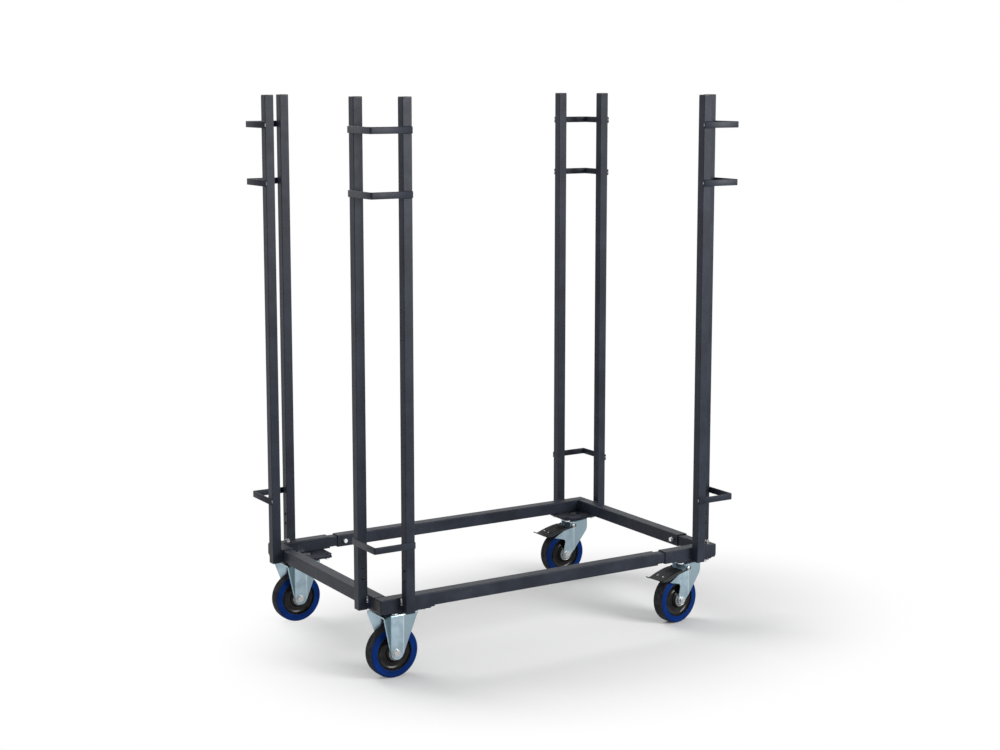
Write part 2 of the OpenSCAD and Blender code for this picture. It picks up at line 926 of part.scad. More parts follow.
module brake_pedal(corner) {
    color(black)
        at_swivel(corner)
            difference() {
                across_fork(2 * skirt_outside)
                    pedal_outside();
                across_fork(2 * skirt_inside)
                    pedal_room();
                translate([0, 0, crest_height - pedal_wall - cut])
                    cylinder(h = 2 * crown_thick, r = crown_radius + crown_play);
                translate([-pivot_back, 0, pivot_height])
                    rotate([90, 0, 0])
                        cylinder(h = 3 * skirt_outside, r = pivot_radius + running_play, center = true);
            }
}

// Block under the pedal's cover; its hollow fits the tyre once the pedal is down
module brake_shoe(corner) {
    color(black)
        at_swivel(corner)
            difference() {
                across_fork(shoe_width)
                    intersection() {
                        pedal_room();
                        translate([-crest_back - shoe_length, axle_height])
                            square([shoe_length, wheel_diameter]);
                    }
                translate([-pivot_back, 0, pivot_height])
                    rotate([0, pedal_travel, 0])
                        translate([pivot_back - braked_trail, 0, axle_height - pivot_height])
                            rotate([90, 0, 0])
                                cylinder(h = 2 * shoe_width, r = wheel_radius + shoe_play, center = true);
            }
}

long_rail(CORNERS[0]);  // front_rail
short_rail(CORNERS[0]);  // left_rail
long_rail(CORNERS[3]);  // back_rail
short_rail(CORNERS[3]);  // right_rail
for (corner = SHORT_CORNERS) {
    base_corner(corner);
    inner_tubes(corner);
}
for (corner = CORNERS) {
    corner_plate(corner);
    post_sockets(corner);
    posts(corner);
    straps(corner);
    end_caps(corner);
    fasteners(corner);
    caster_plate(corner);
    swivel_bearing(corner);
    fork(corner);
    axle(corner);
    wheel(corner);
    tyre(corner);
}
for (corner = BRAKED_CORNERS) {
    brake_pedal(corner);
    brake_shoe(corner);
}
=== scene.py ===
import math
import bmesh
import bpy
import numpy as np
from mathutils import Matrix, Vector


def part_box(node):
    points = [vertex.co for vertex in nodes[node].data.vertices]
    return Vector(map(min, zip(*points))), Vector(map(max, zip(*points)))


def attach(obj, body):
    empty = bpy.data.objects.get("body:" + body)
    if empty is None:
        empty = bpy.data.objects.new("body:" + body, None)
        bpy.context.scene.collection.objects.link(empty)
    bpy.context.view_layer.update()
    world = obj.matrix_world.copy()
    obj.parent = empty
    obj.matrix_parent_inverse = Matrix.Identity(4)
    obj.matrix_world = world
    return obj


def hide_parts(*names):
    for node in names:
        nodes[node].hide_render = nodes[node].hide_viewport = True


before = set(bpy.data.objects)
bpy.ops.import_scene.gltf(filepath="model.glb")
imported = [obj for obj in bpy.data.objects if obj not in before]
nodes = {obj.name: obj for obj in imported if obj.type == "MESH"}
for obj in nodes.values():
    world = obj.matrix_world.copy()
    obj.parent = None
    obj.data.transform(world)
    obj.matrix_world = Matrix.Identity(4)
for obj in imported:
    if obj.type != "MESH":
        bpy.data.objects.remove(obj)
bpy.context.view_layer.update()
print("frame loaded:", len(nodes), "nodes")

mm = 0.001
hair = 0.01  # radius of a ring that stands for a point on its axis, in millimetres
quarter = math.pi / 2
alongX, alongY, alongZ = np.eye(3)
corners = {"front_left": (-1, -1), "back_left": (-1, 1), "front_right": (1, -1), "back_right": (1, 1)}
throughBolted = ("back_left", "front_right")
braked = ("front_right", "back_right")

# shared layout, in millimetres; x and y of a corner point into the bay
trolley = dict(
    halfLength=625, halfWidth=395, railBottom=218, railSide=40, postSide=30, postTop=1719,
    insetLong=71.5, insetShort=78, casterInset={-1: 113, 1: 75.5}, casterSide=63,
    plateBottom=209, crownTop=200, axleHeight=80, trail={-1: 43, 1: 50}, turn={"front_right": 7},
    legOutside=31.5,
)
railTop = trolley["railBottom"] + trolley["railSide"]
railMiddle = trolley["railBottom"] + trolley["railSide"] / 2


# a corner's own x and y, measured into the bay, become places in the frame
def atCorner(points, corner):
    sideX, sideY = corners[corner]
    placed = np.array(points, float)
    placed[..., 0] = sideX * (trolley["halfLength"] - placed[..., 0])
    placed[..., 1] = sideY * (trolley["halfWidth"] - placed[..., 1])
    return placed * mm


# a shape drawn round the swivel axis turns about it by the caster's angle and moves to its caster
def atCaster(points, corner):
    sideX, sideY = corners[corner]
    angle = math.radians(trolley["turn"].get(corner, 0))
    x, y, z = np.moveaxis(np.asarray(points, float), -1, 0)
    kingX = sideX * (trolley["halfLength"] - trolley["casterInset"][sideX])
    kingY = sideY * (trolley["halfWidth"] - trolley["casterSide"])
    turnedX = x * math.cos(angle) - y * math.sin(angle)
    turnedY = x * math.sin(angle) + y * math.cos(angle)
    return np.stack([kingX + turnedX, kingY + turnedY, z], -1) * mm


# middle of a caster's axle, measured from its swivel axis
def axleSpot(corner):
    return np.array((-trolley["trail"][corners[corner][0]], 0, trolley["axleHeight"]), float)


# local z turns to the given axis, and the shape moves to the origin given
def aimed(points, origin, axis):
    forward = np.array(axis, float) / np.linalg.norm(axis)
    helper = alongX if abs(forward[2]) > 0.9 else alongZ
    across = np.cross(helper, forward)
    across /= np.linalg.norm(across)
    rise = np.cross(forward, across)
    return np.asarray(points, float) @ np.stack([across, rise, forward]) + np.asarray(origin, float)


# each inner corner of a line becomes a quadratic curve that leaves and rejoins it at the setback,
# or at 0.45 of the side where that is shorter
def eased(points, setback, steps=3):
    line = np.asarray(points, float)
    corner = line[1:-1]
    back, ahead = line[:-2] - corner, line[2:] - corner
    backLength = np.linalg.norm(back, axis=1, keepdims=True)
    aheadLength = np.linalg.norm(ahead, axis=1, keepdims=True)
    start = corner + back / backLength * np.minimum(setback, 0.45 * backLength)
    end = corner + ahead / aheadLength * np.minimum(setback, 0.45 * aheadLength)
    t = np.linspace(0, 1, steps + 1)[None, :, None]
    curve = (1 - t) ** 2 * start[:, None] + 2 * t * (1 - t) * corner[:, None] + t ** 2 * end[:, None]
    return np.concatenate([line[:1], curve.reshape(-1, line.shape[1]), line[-1:]])


# angles of one full turn
def fullTurn(count):
    return np.linspace(0, 4 * quarter, count, endpoint=False)


# radius and height turned about z: x = r cos t, y = r sin t, z = h
def turned(profile, segments=64):
    t = fullTurn(segments)
    radius, height = np.asarray(profile, float).T[:, :, None]
    return np.stack([radius * np.cos(t), radius * np.sin(t), height + 0 * t], -1)


# outline of a rectangle with quarter circles at its corners
def roundedBox(length, width, radius, steps=6):
    turn = np.arange(4)[:, None] * quarter + np.linspace(0, quarter, steps)
    middleX = (length / 2 - radius) * np.array((1, -1, -1, 1))[:, None]
    middleY = (width / 2 - radius) * np.array((1, 1, -1, -1))[:, None]
    return np.stack([middleX + radius * np.cos(turn), middleY + radius * np.sin(turn)], -1).reshape(-1, 2)


# gathers grids of points that become one mesh
class Shell:
    def __init__(self):
        self.points, self.faces, self.marks, self.count = [], [], [], 0

    def grid(self, points, loopU=False, loopV=False, mark=0):
        rows, columns = points.shape[:2]
        rowStarts = np.arange(rows if loopU else rows - 1)
        columnStarts = np.arange(columns if loopV else columns - 1)
        i, j = np.meshgrid(rowStarts, columnStarts, indexing="ij")
        iNext, jNext = (i + 1) % rows, (j + 1) % columns
        quads = np.stack(
            [i * columns + j, i * columns + jNext, iNext * columns + jNext, iNext * columns + j], -1
        ).reshape(-1, 4)
        self.points.append(points.reshape(-1, 3))
        self.faces.append(quads + self.count)
        self.marks.append(np.full(len(quads), mark))
        self.count += rows * columns
        return self

    # closed rings, with both ends drawn together at their middles
    def loft(self, rings, mark=0):
        first = np.broadcast_to(rings[0].mean(0), rings[0].shape)[None]
        last = np.broadcast_to(rings[-1].mean(0), rings[-1].shape)[None]
        return self.grid(np.concatenate([first, rings, last]), loopV=True, mark=mark)

    # rings turned to an axis and set at a spot, in the measures of a corner or of its caster
    def fit(self, rings, spot, axis, place, corner, mark=0):
        return self.loft(place(aimed(rings, spot, axis), corner), mark)

    def mesh(self, name):
        made = bpy.data.meshes.new(name)
        made.from_pydata(np.concatenate(self.points).tolist(), [], np.concatenate(self.faces).tolist())
        made.polygons.foreach_set("material_index", np.concatenate(self.marks).astype(np.int32))
        return made


meshing = dict(joinWithin=2e-6, leastEdge=1e-7)  # metres


def makePiece(name, shell, body, materials, replaced=(), sharp=40, inside=None):
    mesh = shell.mesh(name)
    work = bmesh.new()
    work.from_mesh(mesh)
    bmesh.ops.remove_doubles(work, verts=work.verts, dist=meshing["joinWithin"])
    bmesh.ops.dissolve_degenerate(work, edges=work.edges, dist=meshing["leastEdge"])
    bmesh.ops.recalc_face_normals(work, faces=work.faces)
    if inside is not None:  # an open sheet faces away from this point
        lean = sum(f.normal.dot(f.calc_center_median() - inside) * f.calc_area() for f in work.faces)
        if lean < 0:
            bmesh.ops.reverse_faces(work, faces=work.faces)
    work.to_mesh(mesh)
    work.free()
    mesh.polygons.foreach_set("use_smooth", np.ones(len(mesh.polygons), bool))
    mesh.set_sharp_from_angle(angle=math.radians(sharp))
    for material in materials:
        mesh.materials.append(material)
    piece = bpy.data.objects.new(name, mesh)
    bpy.context.scene.collection.objects.link(piece)
    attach(piece, body)
    if replaced:
        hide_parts(*replaced)
    return piece


def middleOf(nodeName):
    low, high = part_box(nodeName)
    return (low + high) / 2


# a sheet gets its wall on the inner side; inner is the finish of that side and of the rims
def thicken(piece, thickness, inner=0, even=False):
    wall = piece.modifiers.new("wall", "SOLIDIFY")
    wall.thickness = thickness * mm
    wall.offset = -1
    wall.material_offset = inner
    wall.material_offset_rim = inner
    wall.use_even_offset = even


# edges sharper than the angle are rounded off
def breakEdges(piece, width, angle):
    edge = piece.modifiers.new("edge", "BEVEL")
    edge.width = width * mm
    edge.segments = 2
    edge.limit_method = "ANGLE"
    edge.angle_limit = math.radians(angle)


# places of a piece's points in its caster's own frame, in millimetres
def casterPlaces(piece, corner):
    spots = np.empty(len(piece.data.vertices) * 3)
    piece.data.vertices.foreach_get("co", spots)
    origin = atCaster([(0, 0, 0)], corner)[0]
    axes = (atCaster(np.eye(3), corner) - origin) / mm
    return (spots.reshape(-1, 3) - origin) @ axes.T / mm


# a map of the piece's own, with one pair of numbers for each point
def ownMap(piece, name, pairs):
    order = np.empty(len(piece.data.loops), np.int32)
    piece.data.loops.foreach_get("vertex_index", order)
    piece.data.uv_layers.new(name=name).data.foreach_set("uv", pairs[order].ravel())


# one socket with arithmetic: each sign adds a Math node to the same material
class Wire:
    def __init__(self, finish, socket):
        self.finish, self.socket = finish, socket

    def maths(self, operation, first, second):
        return self.finish.node("ShaderNodeMath", {"operation": operation}, {0: first, 1: second})

    def __add__(self, other):
        return self.maths("ADD", self, other)

    def __sub__(self, other):
        return self.maths("SUBTRACT", self, other)

    def __rsub__(self, other):
        return self.maths("SUBTRACT", other, self)

    def __mul__(self, other):
        return self.maths("MULTIPLY", self, other)

    __radd__ = __add__
    __rmul__ = __mul__

    def most(self, other):
        return self.maths("MAXIMUM", self, other)

    def step(self, start, end):  # 0 before start, 1 after end, smooth between
        return self.finish.node(
            "ShaderNodeMapRange", {"interpolation_type": "SMOOTHSTEP"},
            {"Value": self, "From Min": start, "From Max": end},
        )


class Finish:
    def __init__(self, name, world=False):
        if world:
            self.holder = bpy.data.worlds.new(name)
        else:
            self.holder = bpy.data.materials.new(name)
        self.holder.use_nodes = True
        self.tree = self.holder.node_tree
        self.tree.nodes.clear()

    # any node: its settings first, then the values or links of its sockets
    def node(self, kind, settings=None, sockets=None, output=0):
        made = self.tree.nodes.new(kind)
        for key, value in (settings or {}).items():
            setattr(made, key, value)
        for key, value in (sockets or {}).items():
            if isinstance(key, int):
                socket = made.inputs[key]
            else:
                socket = next(s for s in made.inputs if key in (s.identifier, s.name))
            if isinstance(value, Wire):
                self.tree.links.new(value.socket, socket)
            else:
                socket.default_value = value
        return Wire(self, made.outputs[output]) if len(made.outputs) else None

    def place(self, kind="Object"):
        return self.node("ShaderNodeTexCoord", output=kind)

    def part(self, vector, axis):
        return self.node("ShaderNodeSeparateXYZ", sockets={"Vector": vector}, output=axis)

    def height(self):
        return self.part(self.place(), "Z")

    def upward(self):  # 1 on a level face that looks up, 0 on an upright one
        return self.part(self.place("Normal"), "Z")

    def noise(self, scale, detail=3.0, rough=0.5, stretch=None):
        vector = self.place()
        if stretch:
            vector = self.node("ShaderNodeMapping", sockets={"Vector": vector, "Scale": stretch})
        return self.node(
            "ShaderNodeTexNoise", {"noise_dimensions": "3D"},
            {"Vector": vector, "Scale": scale, "Detail": detail, "Roughness": rough},
        )

    # a noise of the look's own, cut to a mask by the Step of the same name
    def mask(self, look, name):
        return self.noise(*look[name]).step(*look[name + "Step"])

    def blendColour(self, share, first, second):
        return self.node(
            "ShaderNodeMix", {"data_type": "RGBA"},
            {"Factor_Float": share, "A_Color": first, "B_Color": second}, output=2,
        )

    def bump(self, height, strength, distance):
        return self.node(
            "ShaderNodeBump", sockets={"Height": height, "Strength": strength, "Distance": distance}
        )

    def grain(self, look):
        return self.bump(self.noise(*look["grain"]), *look["grainRelief"])

    def surface(self, sockets):
        shader = self.node("ShaderNodeBsdfPrincipled", sockets=sockets)
        self.node("ShaderNodeOutputMaterial", sockets={"Surface": shader})
        return self.holder


def rgb(red, green, blue):
    return (red, green, blue, 1.0)


# in the finishes three numbers are a noise's scale, detail and roughness, a Step is where a mask starts
# and is full, a Share is how much of it is used, and a Relief is a bump's strength and depth in metres
coat = dict(
    dark=rgb(0.0085, 0.0112, 0.0185), light=rgb(0.0180, 0.0226, 0.0345),
    bare=rgb(0.20, 0.20, 0.205), dust=rgb(0.10, 0.10, 0.10),
    cloud=(9.0, 7.0, 0.68), cloudStep=(0.3, 0.7), levelStep=(0.85, 0.99), heightStep=(0.10, 0.55),
    scratch=(9.0, 6.0, 0.62), scratchRun=(3.0, 3.0, 14.0), scratchStep=(0.665, 0.70), scratchShare=0.45,
    nick=(120.0, 2.0, 0.5), nickStep=(0.71, 0.74), nickCloudStep=(0.5, 0.7), nickShare=0.2,
    dusting=(26.0, 5.0, 0.6), dustingStep=(0.35, 0.75), dustShare=0.3, lowStep=(0.45, 0.8), lowShare=0.06,
    rough=0.36, sheen=(40.0, 3.0, 0.5), sheenShare=0.12, dustRough=0.3, specular=0.16,
    grain=(650.0, 2.0, 0.45), grainRelief=(0.35, 0.00006),
)


# satin powder coat: faint clouds of tone, orange peel, dust and scratches on level faces, small nicks
def powderCoat():
    finish = Finish("anthracite_coat")
    clouds = finish.noise(*coat["cloud"])
    level = finish.upward().step(*coat["levelStep"])
    low = 1 - finish.height().step(*coat["heightStep"])
    scratch = finish.noise(*coat["scratch"], stretch=coat["scratchRun"]).step(*coat["scratchStep"])
    nicks = finish.mask(coat, "nick") * clouds.step(*coat["nickCloudStep"])
    worn = scratch * level * coat["scratchShare"] + nicks * (low * coat["nickShare"] + coat["nickShare"])
    dusty = level * finish.mask(coat, "dusting") * coat["dustShare"]
    dusty = dusty + low * clouds.step(*coat["lowStep"]) * coat["lowShare"]
    colour = finish.blendColour(clouds.step(*coat["cloudStep"]), coat["dark"], coat["light"])
    colour = finish.blendColour(dusty, colour, coat["dust"])
    colour = finish.blendColour(worn, colour, coat["bare"])
    rough = coat["rough"] + finish.noise(*coat["sheen"]) * coat["sheenShare"] + dusty * coat["dustRough"]
    return finish.surface({
        "Base Color": colour, "Roughness": rough, "Specular IOR Level": coat["specular"],
        "Normal": finish.grain(coat),
    })


zinc = dict(
    # flange and rear are painted shade on the fork's flanges, ridge is a painted highlight on the front
    # crease
    pale=rgb(0.37, 0.48, 0.55), deep=rgb(0.28, 0.375, 0.43), flange=rgb(0.25, 0.335, 0.385),
    rear=rgb(0.10, 0.18, 0.21), ridge=rgb(0.72, 0.78, 0.80), stain=rgb(0.16, 0.16, 0.15),
    cloud=(34.0, 4.0, 0.55), cloudStep=(0.32, 0.68), flangeShadeShare=0.5,
    rolling=(60.0, 3.0, 0.5), rollingRun=(1.0, 1.0, 16.0), rollingRelief=(0.18, 0.0002), cloudRelief=0.5,
    blot=(70.0, 5.0, 0.6), blotStep=(0.56, 0.72), blotHeightStep=(0.06, 0.2), blotShare=0.4,
    frontStep=(-0.19, -0.17), rearStep=(-0.63, -0.59),
    creaseHighlightStartStep=(-0.205, -0.185), creaseHighlightEndStep=(-0.175, -0.155), creaseHighlightShare=0.5,
    metal=0.92, rough=0.24, cloudRough=0.12, stainRough=0.3,
)


# blue-passivated sheet: a cloudy tone, painted shade on the flanges, darkest on the rear one, a painted
# highlight along the front crease, fine rolling lines and stains low down; u is the distance along the fork
# in tenths of a metre
def casterZinc(name, paintedPanelShade):
    finish = Finish(name)
    cloud = finish.noise(*zinc["cloud"])
    lines = finish.noise(*zinc["rolling"], stretch=zinc["rollingRun"])
    low = 1 - finish.height().step(*zinc["blotHeightStep"])
    stain = finish.mask(zinc, "blot") * low * zinc["blotShare"]
    colour = finish.blendColour(cloud.step(*zinc["cloudStep"]), zinc["deep"], zinc["pale"])
    if paintedPanelShade:
        along = finish.part(finish.node("ShaderNodeUVMap", {"uv_map": "sheet"}), "X")
        ahead = along.step(*zinc["frontStep"])
        behind = 1 - along.step(*zinc["rearStep"])
        # painted shade: a duller front flange and a dark rear flange
        darker = ahead * (1 - zinc["flangeShadeShare"] + cloud * zinc["flangeShadeShare"])
        colour = finish.blendColour(darker, colour, zinc["flange"])
        colour = finish.blendColour(behind, colour, zinc["rear"])
        # painted highlight along the front crease
        crest = along.step(*zinc["creaseHighlightStartStep"]) * (1 - along.step(*zinc["creaseHighlightEndStep"]))
        colour = finish.blendColour(crest * zinc["creaseHighlightShare"], colour, zinc["ridge"])
    colour = finish.blendColour(stain, colour, zinc["stain"])
    rough = zinc["rough"] + cloud * zinc["cloudRough"] + stain * zinc["stainRough"]
    return finish.surface({
        "Base Color": colour, "Metallic": zinc["metal"], "Roughness": rough,
        "Normal": finish.bump(lines + cloud * zinc["cloudRelief"], *zinc["rollingRelief"]),
    })


plating = dict(
    bright=(0.86, 0.87, 0.88), dull=(0.56, 0.55, 0.53), patch=(180.0, 4.0, 0.6), patchStep=(0.45, 0.75),
    rough=0.24, patchRough=0.25, grain=(900.0, 2.0, 0.5), grainRelief=(0.15, 0.00005),
)


# plated bolts with a few dull patches; level darkens both tones
def boltZinc(name, level):
    finish = Finish(name)
    patch = finish.mask(plating, "patch")
    bright = rgb(*(tone * level for tone in plating["bright"]))
    dull = rgb(*(tone * level for tone in plating["dull"]))
    return finish.surface({
        "Base Color": finish.blendColour(patch, bright, dull), "Metallic": 1.0,
        "Roughness": plating["rough"] + patch * plating["patchRough"],
        "Normal": finish.grain(plating),
    })


weldTone = dict(
    # bright, laid by the glint mask, is bare metal and a painted highlight on the ripples
    dark=rgb(0.10, 0.10, 0.105), bright=rgb(0.66, 0.65, 0.63), glint=(140.0, 4.0, 0.6),
    glintStep=(0.40, 0.66), metal=0.25, glintMetal=0.6, rough=0.38, glintRough=0.1,
    grain=(1100.0, 2.0, 0.5), grainRelief=(0.3, 0.00008),
)


# weld beads left bare: dark scale, and bright bare metal in noise patches that also stands in for glints on
# the ripples, a painted highlight
def weldBead():
    finish = Finish("weld_bead")
    glinting = finish.mask(weldTone, "glint")
    return finish.surface({
        "Base Color": finish.blendColour(glinting, weldTone["dark"], weldTone["bright"]),
        "Metallic": weldTone["metal"] + glinting * weldTone["glintMetal"],
        "Roughness": weldTone["rough"] - glinting * weldTone["glintRough"],
        "Normal": finish.grain(weldTone),
    })


plastic = dict(
    dust=rgb(0.15, 0.14, 0.13), blue=1.06, broad=(30.0, 4.0, 0.6), broadStep=(0.4, 0.8),
    fineRough=0.12, dustRough=0.6, specular=0.2, grainRelief=(0.25, 0.00008),
)


# moulded black plastic: eggshell grain, slight greying and dust
def blackPlastic(name, tone, grain, dust, rough=0.3):
    finish = Finish(name)
    fine = finish.noise(grain, detail=2.0)
    broad = finish.mask(plastic, "broad")
    colour = finish.blendColour(broad * dust, rgb(tone, tone, tone * plastic["blue"]), plastic["dust"])
    return finish.surface({
        "Base Color": colour,
        "Roughness": rough + fine * plastic["fineRough"] + broad * dust * plastic["dustRough"],
        "Specular IOR Level": plastic["specular"], "Normal": finish.bump(fine, *plastic["grainRelief"]),
    })


tyreTone = dict(
    side=rgb(0.0003, 0.0135, 0.088), sideLight=rgb(0.0008, 0.021, 0.128),
    tread=rgb(0.040, 0.040, 0.043), treadDark=rgb(0.016, 0.017, 0.020),
    blotch=(55.0, 5.0, 0.62), blotchStep=(0.35, 0.7), treadStep=(0.955, 0.985), treadWander=0.035,
    cloud=(24.0, 4.0, 0.5), cloudStep=(0.35, 0.7),
    scuff=(160.0, 4.0, 0.6), scuffStep=(0.62, 0.72), scuffRimStep=(0.85, 0.95), scuffShare=0.35,
    rough=0.42, treadRough=0.35, blotchRough=0.08, middleRough=0.02, specular=0.05,
    grain=(420.0, 3.0, 0.6), wallGrain=0.4, treadGrain=0.6, grainRelief=(0.3, 0.00025),
)


# elastic rubber: blue walls with scuffs near the rim, and a dusty dark tread;
# u is the radius and v the distance from the wheel's middle, both as shares of the whole
def blueRubber():
    finish = Finish("blue_rubber")
    own = finish.node("ShaderNodeUVMap", {"uv_map": "wall"})
    outward = finish.part(own, "X")
    fromMiddle = finish.part(own, "Y")
    blotch = finish.noise(*tyreTone["blotch"])
    onTread = (outward + (blotch - 0.5) * tyreTone["treadWander"]).step(*tyreTone["treadStep"])
    side = finish.blendColour(finish.mask(tyreTone, "cloud"), tyreTone["side"], tyreTone["sideLight"])
    scuff = finish.mask(tyreTone, "scuff") * outward.step(*tyreTone["scuffRimStep"]) * tyreTone["scuffShare"]
    side = finish.blendColour(scuff, side, tyreTone["tread"])
    tread = finish.blendColour(
        blotch.step(*tyreTone["blotchStep"]), tyreTone["treadDark"], tyreTone["tread"]
    )
    rough = tyreTone["rough"] + onTread * tyreTone["treadRough"] + blotch * tyreTone["blotchRough"]
    grain = finish.noise(*tyreTone["grain"]) * (tyreTone["wallGrain"] + onTread * tyreTone["treadGrain"])
    return finish.surface({
        "Base Color": finish.blendColour(onTread, side, tread),
        "Roughness": rough + fromMiddle * tyreTone["middleRough"],
        "Specular IOR Level": tyreTone["specular"],
        "Normal": finish.bump(grain, *tyreTone["grainRelief"]),
    })


pedalTone = dict(
    black=rgb(0.005, 0.006, 0.007), rubbed=rgb(0.16, 0.16, 0.165), levelStep=(0.5, 0.95),
    rub=(45.0, 6.0, 0.65), rubStep=(0.50, 0.68), rubShare=0.35, rubMetal=0.3, rough=0.48, rubRough=0.1,
    specular=0.24, grain=(380.0, 3.0, 0.5), grainRelief=(0.25, 0.0001),
)


# pressed and blackened steel: satin, rubbed grey on its level faces
def pedalBlack():
    finish = Finish("pedal_black")
    level = finish.upward().step(*pedalTone["levelStep"])
    rub = finish.mask(pedalTone, "rub") * level
    colour = finish.blendColour(rub * pedalTone["rubShare"], pedalTone["black"], pedalTone["rubbed"])
    return finish.surface({
        "Base Color": colour, "Metallic": rub * pedalTone["rubMetal"],
        "Roughness": pedalTone["rough"] + rub * pedalTone["rubRough"],
        "Specular IOR Level": pedalTone["specular"],
        "Normal": finish.grain(pedalTone),
    })


coatFinish = powderCoat()
zincFinish = casterZinc("caster_zinc", paintedPanelShade=True)
zincInside = casterZinc("caster_zinc_inside", paintedPanelShade=False)
boltFinish = boltZinc("bolt_zinc", level=1.0)
guardFinish = boltZinc("guard_zinc", level=0.32)
axleFinish = boltZinc("axle_zinc", level=0.66)
weldFinish = weldBead()
capFinish = blackPlastic("cap_plastic", tone=0.012, grain=700.0, dust=0.25)
hubFinish = blackPlastic("hub_plastic", tone=0.004, grain=420.0, dust=0.1, rough=0.12)
shoeFinish = blackPlastic("shoe_rubber", tone=0.020, grain=260.0, dust=0.5)
screwFinish = blackPlastic("screw_black", tone=0.003, grain=500.0, dust=0.1, rough=0.16)
tyreFinish = blueRubber()
pedalFinish = pedalBlack()

coatedNodes = (
    "front_rail", "back_rail", "left_rail", "right_rail", "base_corner", "inner_tubes", "corner_plate",
    "post_sockets", "posts", "caster_plate",
)
nodeFinish = {coatedNodes: coatFinish, ("swivel_bearing",): boltFinish}
tubeEdge = dict(width=0.9, angle=55, pieces=("posts", "post_sockets"))
for nodeName, nodeObject in nodes.items():
    for starts, finishUsed in nodeFinish.items():
        if nodeName.startswith(starts):
            nodeObject.data.materials.clear()
            nodeObject.data.materials.append(finishUsed)
    if nodeName.startswith(tubeEdge["pieces"]):  # sawn ends are broken, so that the joint shows
        breakEdges(nodeObject, tubeEdge["width"], tubeEdge["angle"])
print("finishes made")

strap = dict(thick=5, height=20, bend=3.5, bendSteps=9, edge=1.3, edgeSteps=4, mids=(1629, 1446, 420))


# flat bar bent round the corner: a rounded section carried along an L-shaped line with a tight bend
def strapRings(mid):
    thick, height, edge, steps = strap["thick"], strap["height"], strap["edge"], strap["edgeSteps"]
    offset = trolley["postSide"] + thick / 2
    bendMiddle = strap["bend"] - offset
    endX = trolley["insetLong"] + trolley["postSide"]
    endY = trolley["insetShort"] + trolley["postSide"]
    angle = np.linspace(-quarter, -2 * quarter, strap["bendSteps"])
    outward = np.stack([np.cos(angle), np.sin(angle)], -1)
    line = np.concatenate([
        [(endX, -offset), (endX - edge, -offset)],
        bendMiddle + strap["bend"] * outward,
        [(-offset, endY - edge), (-offset, endY)],
    ])
    facing = np.concatenate([[(0, -1), (0, -1)], outward, [(-1, 0), (-1, 0)]])
    section = np.repeat(roundedBox(thick, height, edge, steps)[None], len(line), 0)
    section[[0, -1]] = roundedBox(thick - 2 * edge, height - 2 * edge, edge / 2, steps)
    plan = line[:, None] + facing[:, None] * section[:, :, :1]
    return np.concatenate([plan, mid + section[:, :, 1:]], -1)


for corner in corners:
    shell = Shell()
    for mid in strap["mids"]:
        shell.loft(atCorner(strapRings(mid), corner))
    makePiece(
        f"strap_bars_{corner}", shell, f"{corner}_frame", [coatFinish],
        [f"straps_{corner}"], sharp=50,
    )
print("straps bent")

weld = dict(
    ripple=2.3, rippleSteps=5, endSteps=6, swell=0.16, runOut=10, thinnest=0.02, sides=10,
    small=1.7, seam=2.8, lump=4.2, tack=5, lumpLow=24, lumpHigh=2, lumpSunk=1, short=2, socketGap=3,
    plugGap=4, sunk=0.4, stitch=14, stitchesLong=(50, 78, 106), stitchesShort=(50, 84),
)
coated, bright = 0, 1  # finishes of the beads


# weld bead: a tube whose radius swells with each puddle and runs out at both ends
def beadRings(start, end, radius):
    start, end = np.array(start, float), np.array(end, float)
    length = np.linalg.norm(end - start)
    s = np.linspace(0, 1, int(length / weld["ripple"] * weld["rippleSteps"]) + weld["endSteps"])
    taper = np.sqrt(np.clip(1 - (2 * s - 1) ** weld["runOut"], weld["thinnest"], 1))
    size = radius * taper * (1 - weld["swell"] * np.abs(np.sin(math.pi * s * length / weld["ripple"])))
    turn = fullTurn(weld["sides"])
    ring = np.stack([np.cos(turn), np.sin(turn)], -1)
    far = (s * length)[:, None, None] + 0 * ring[..., :1]
    return aimed(np.concatenate([size[:, None, None] * ring, far], -1), start, end - start)


# start, end, radius and finish of the beads on one side of a corner, as distance along its rail,
# distance into the bay and height
def sideBeads(near, stitches):
    post, rail, low, high = trolley["postSide"], trolley["railSide"], trolley["railBottom"], railTop
    far = near + post
    first, last, small, gap = near + weld["short"], far - weld["short"], weld["small"], weld["socketGap"]
    lines = []
    for mid in strap["mids"]:
        for edge in (mid - strap["height"] / 2, mid + strap["height"] / 2):
            lines.append(((first, -post, edge), (last, -post, edge), small, coated))
        lines.append(((far, -post, mid - weld["tack"]), (far, -post, mid + weld["tack"]), small, bright))
    for along in (near, far):  # socket on the rail's outer face
        lines.append(((along, 0, low + gap), (along, 0, high - gap), small, coated))
    lines.append(((first, 0, high), (last, 0, high), small, coated))
    lumpLow, lumpHigh, lumpIn = high - weld["lumpLow"], high - weld["lumpHigh"], -weld["lumpSunk"]
    lines.append(((near, lumpIn, lumpLow), (near, lumpIn, lumpHigh), weld["lump"], bright))
    for along in stitches:  # between plate and tube
        lines.append(((along, rail, low), (along + weld["stitch"], rail, low), small, coated))
    return lines


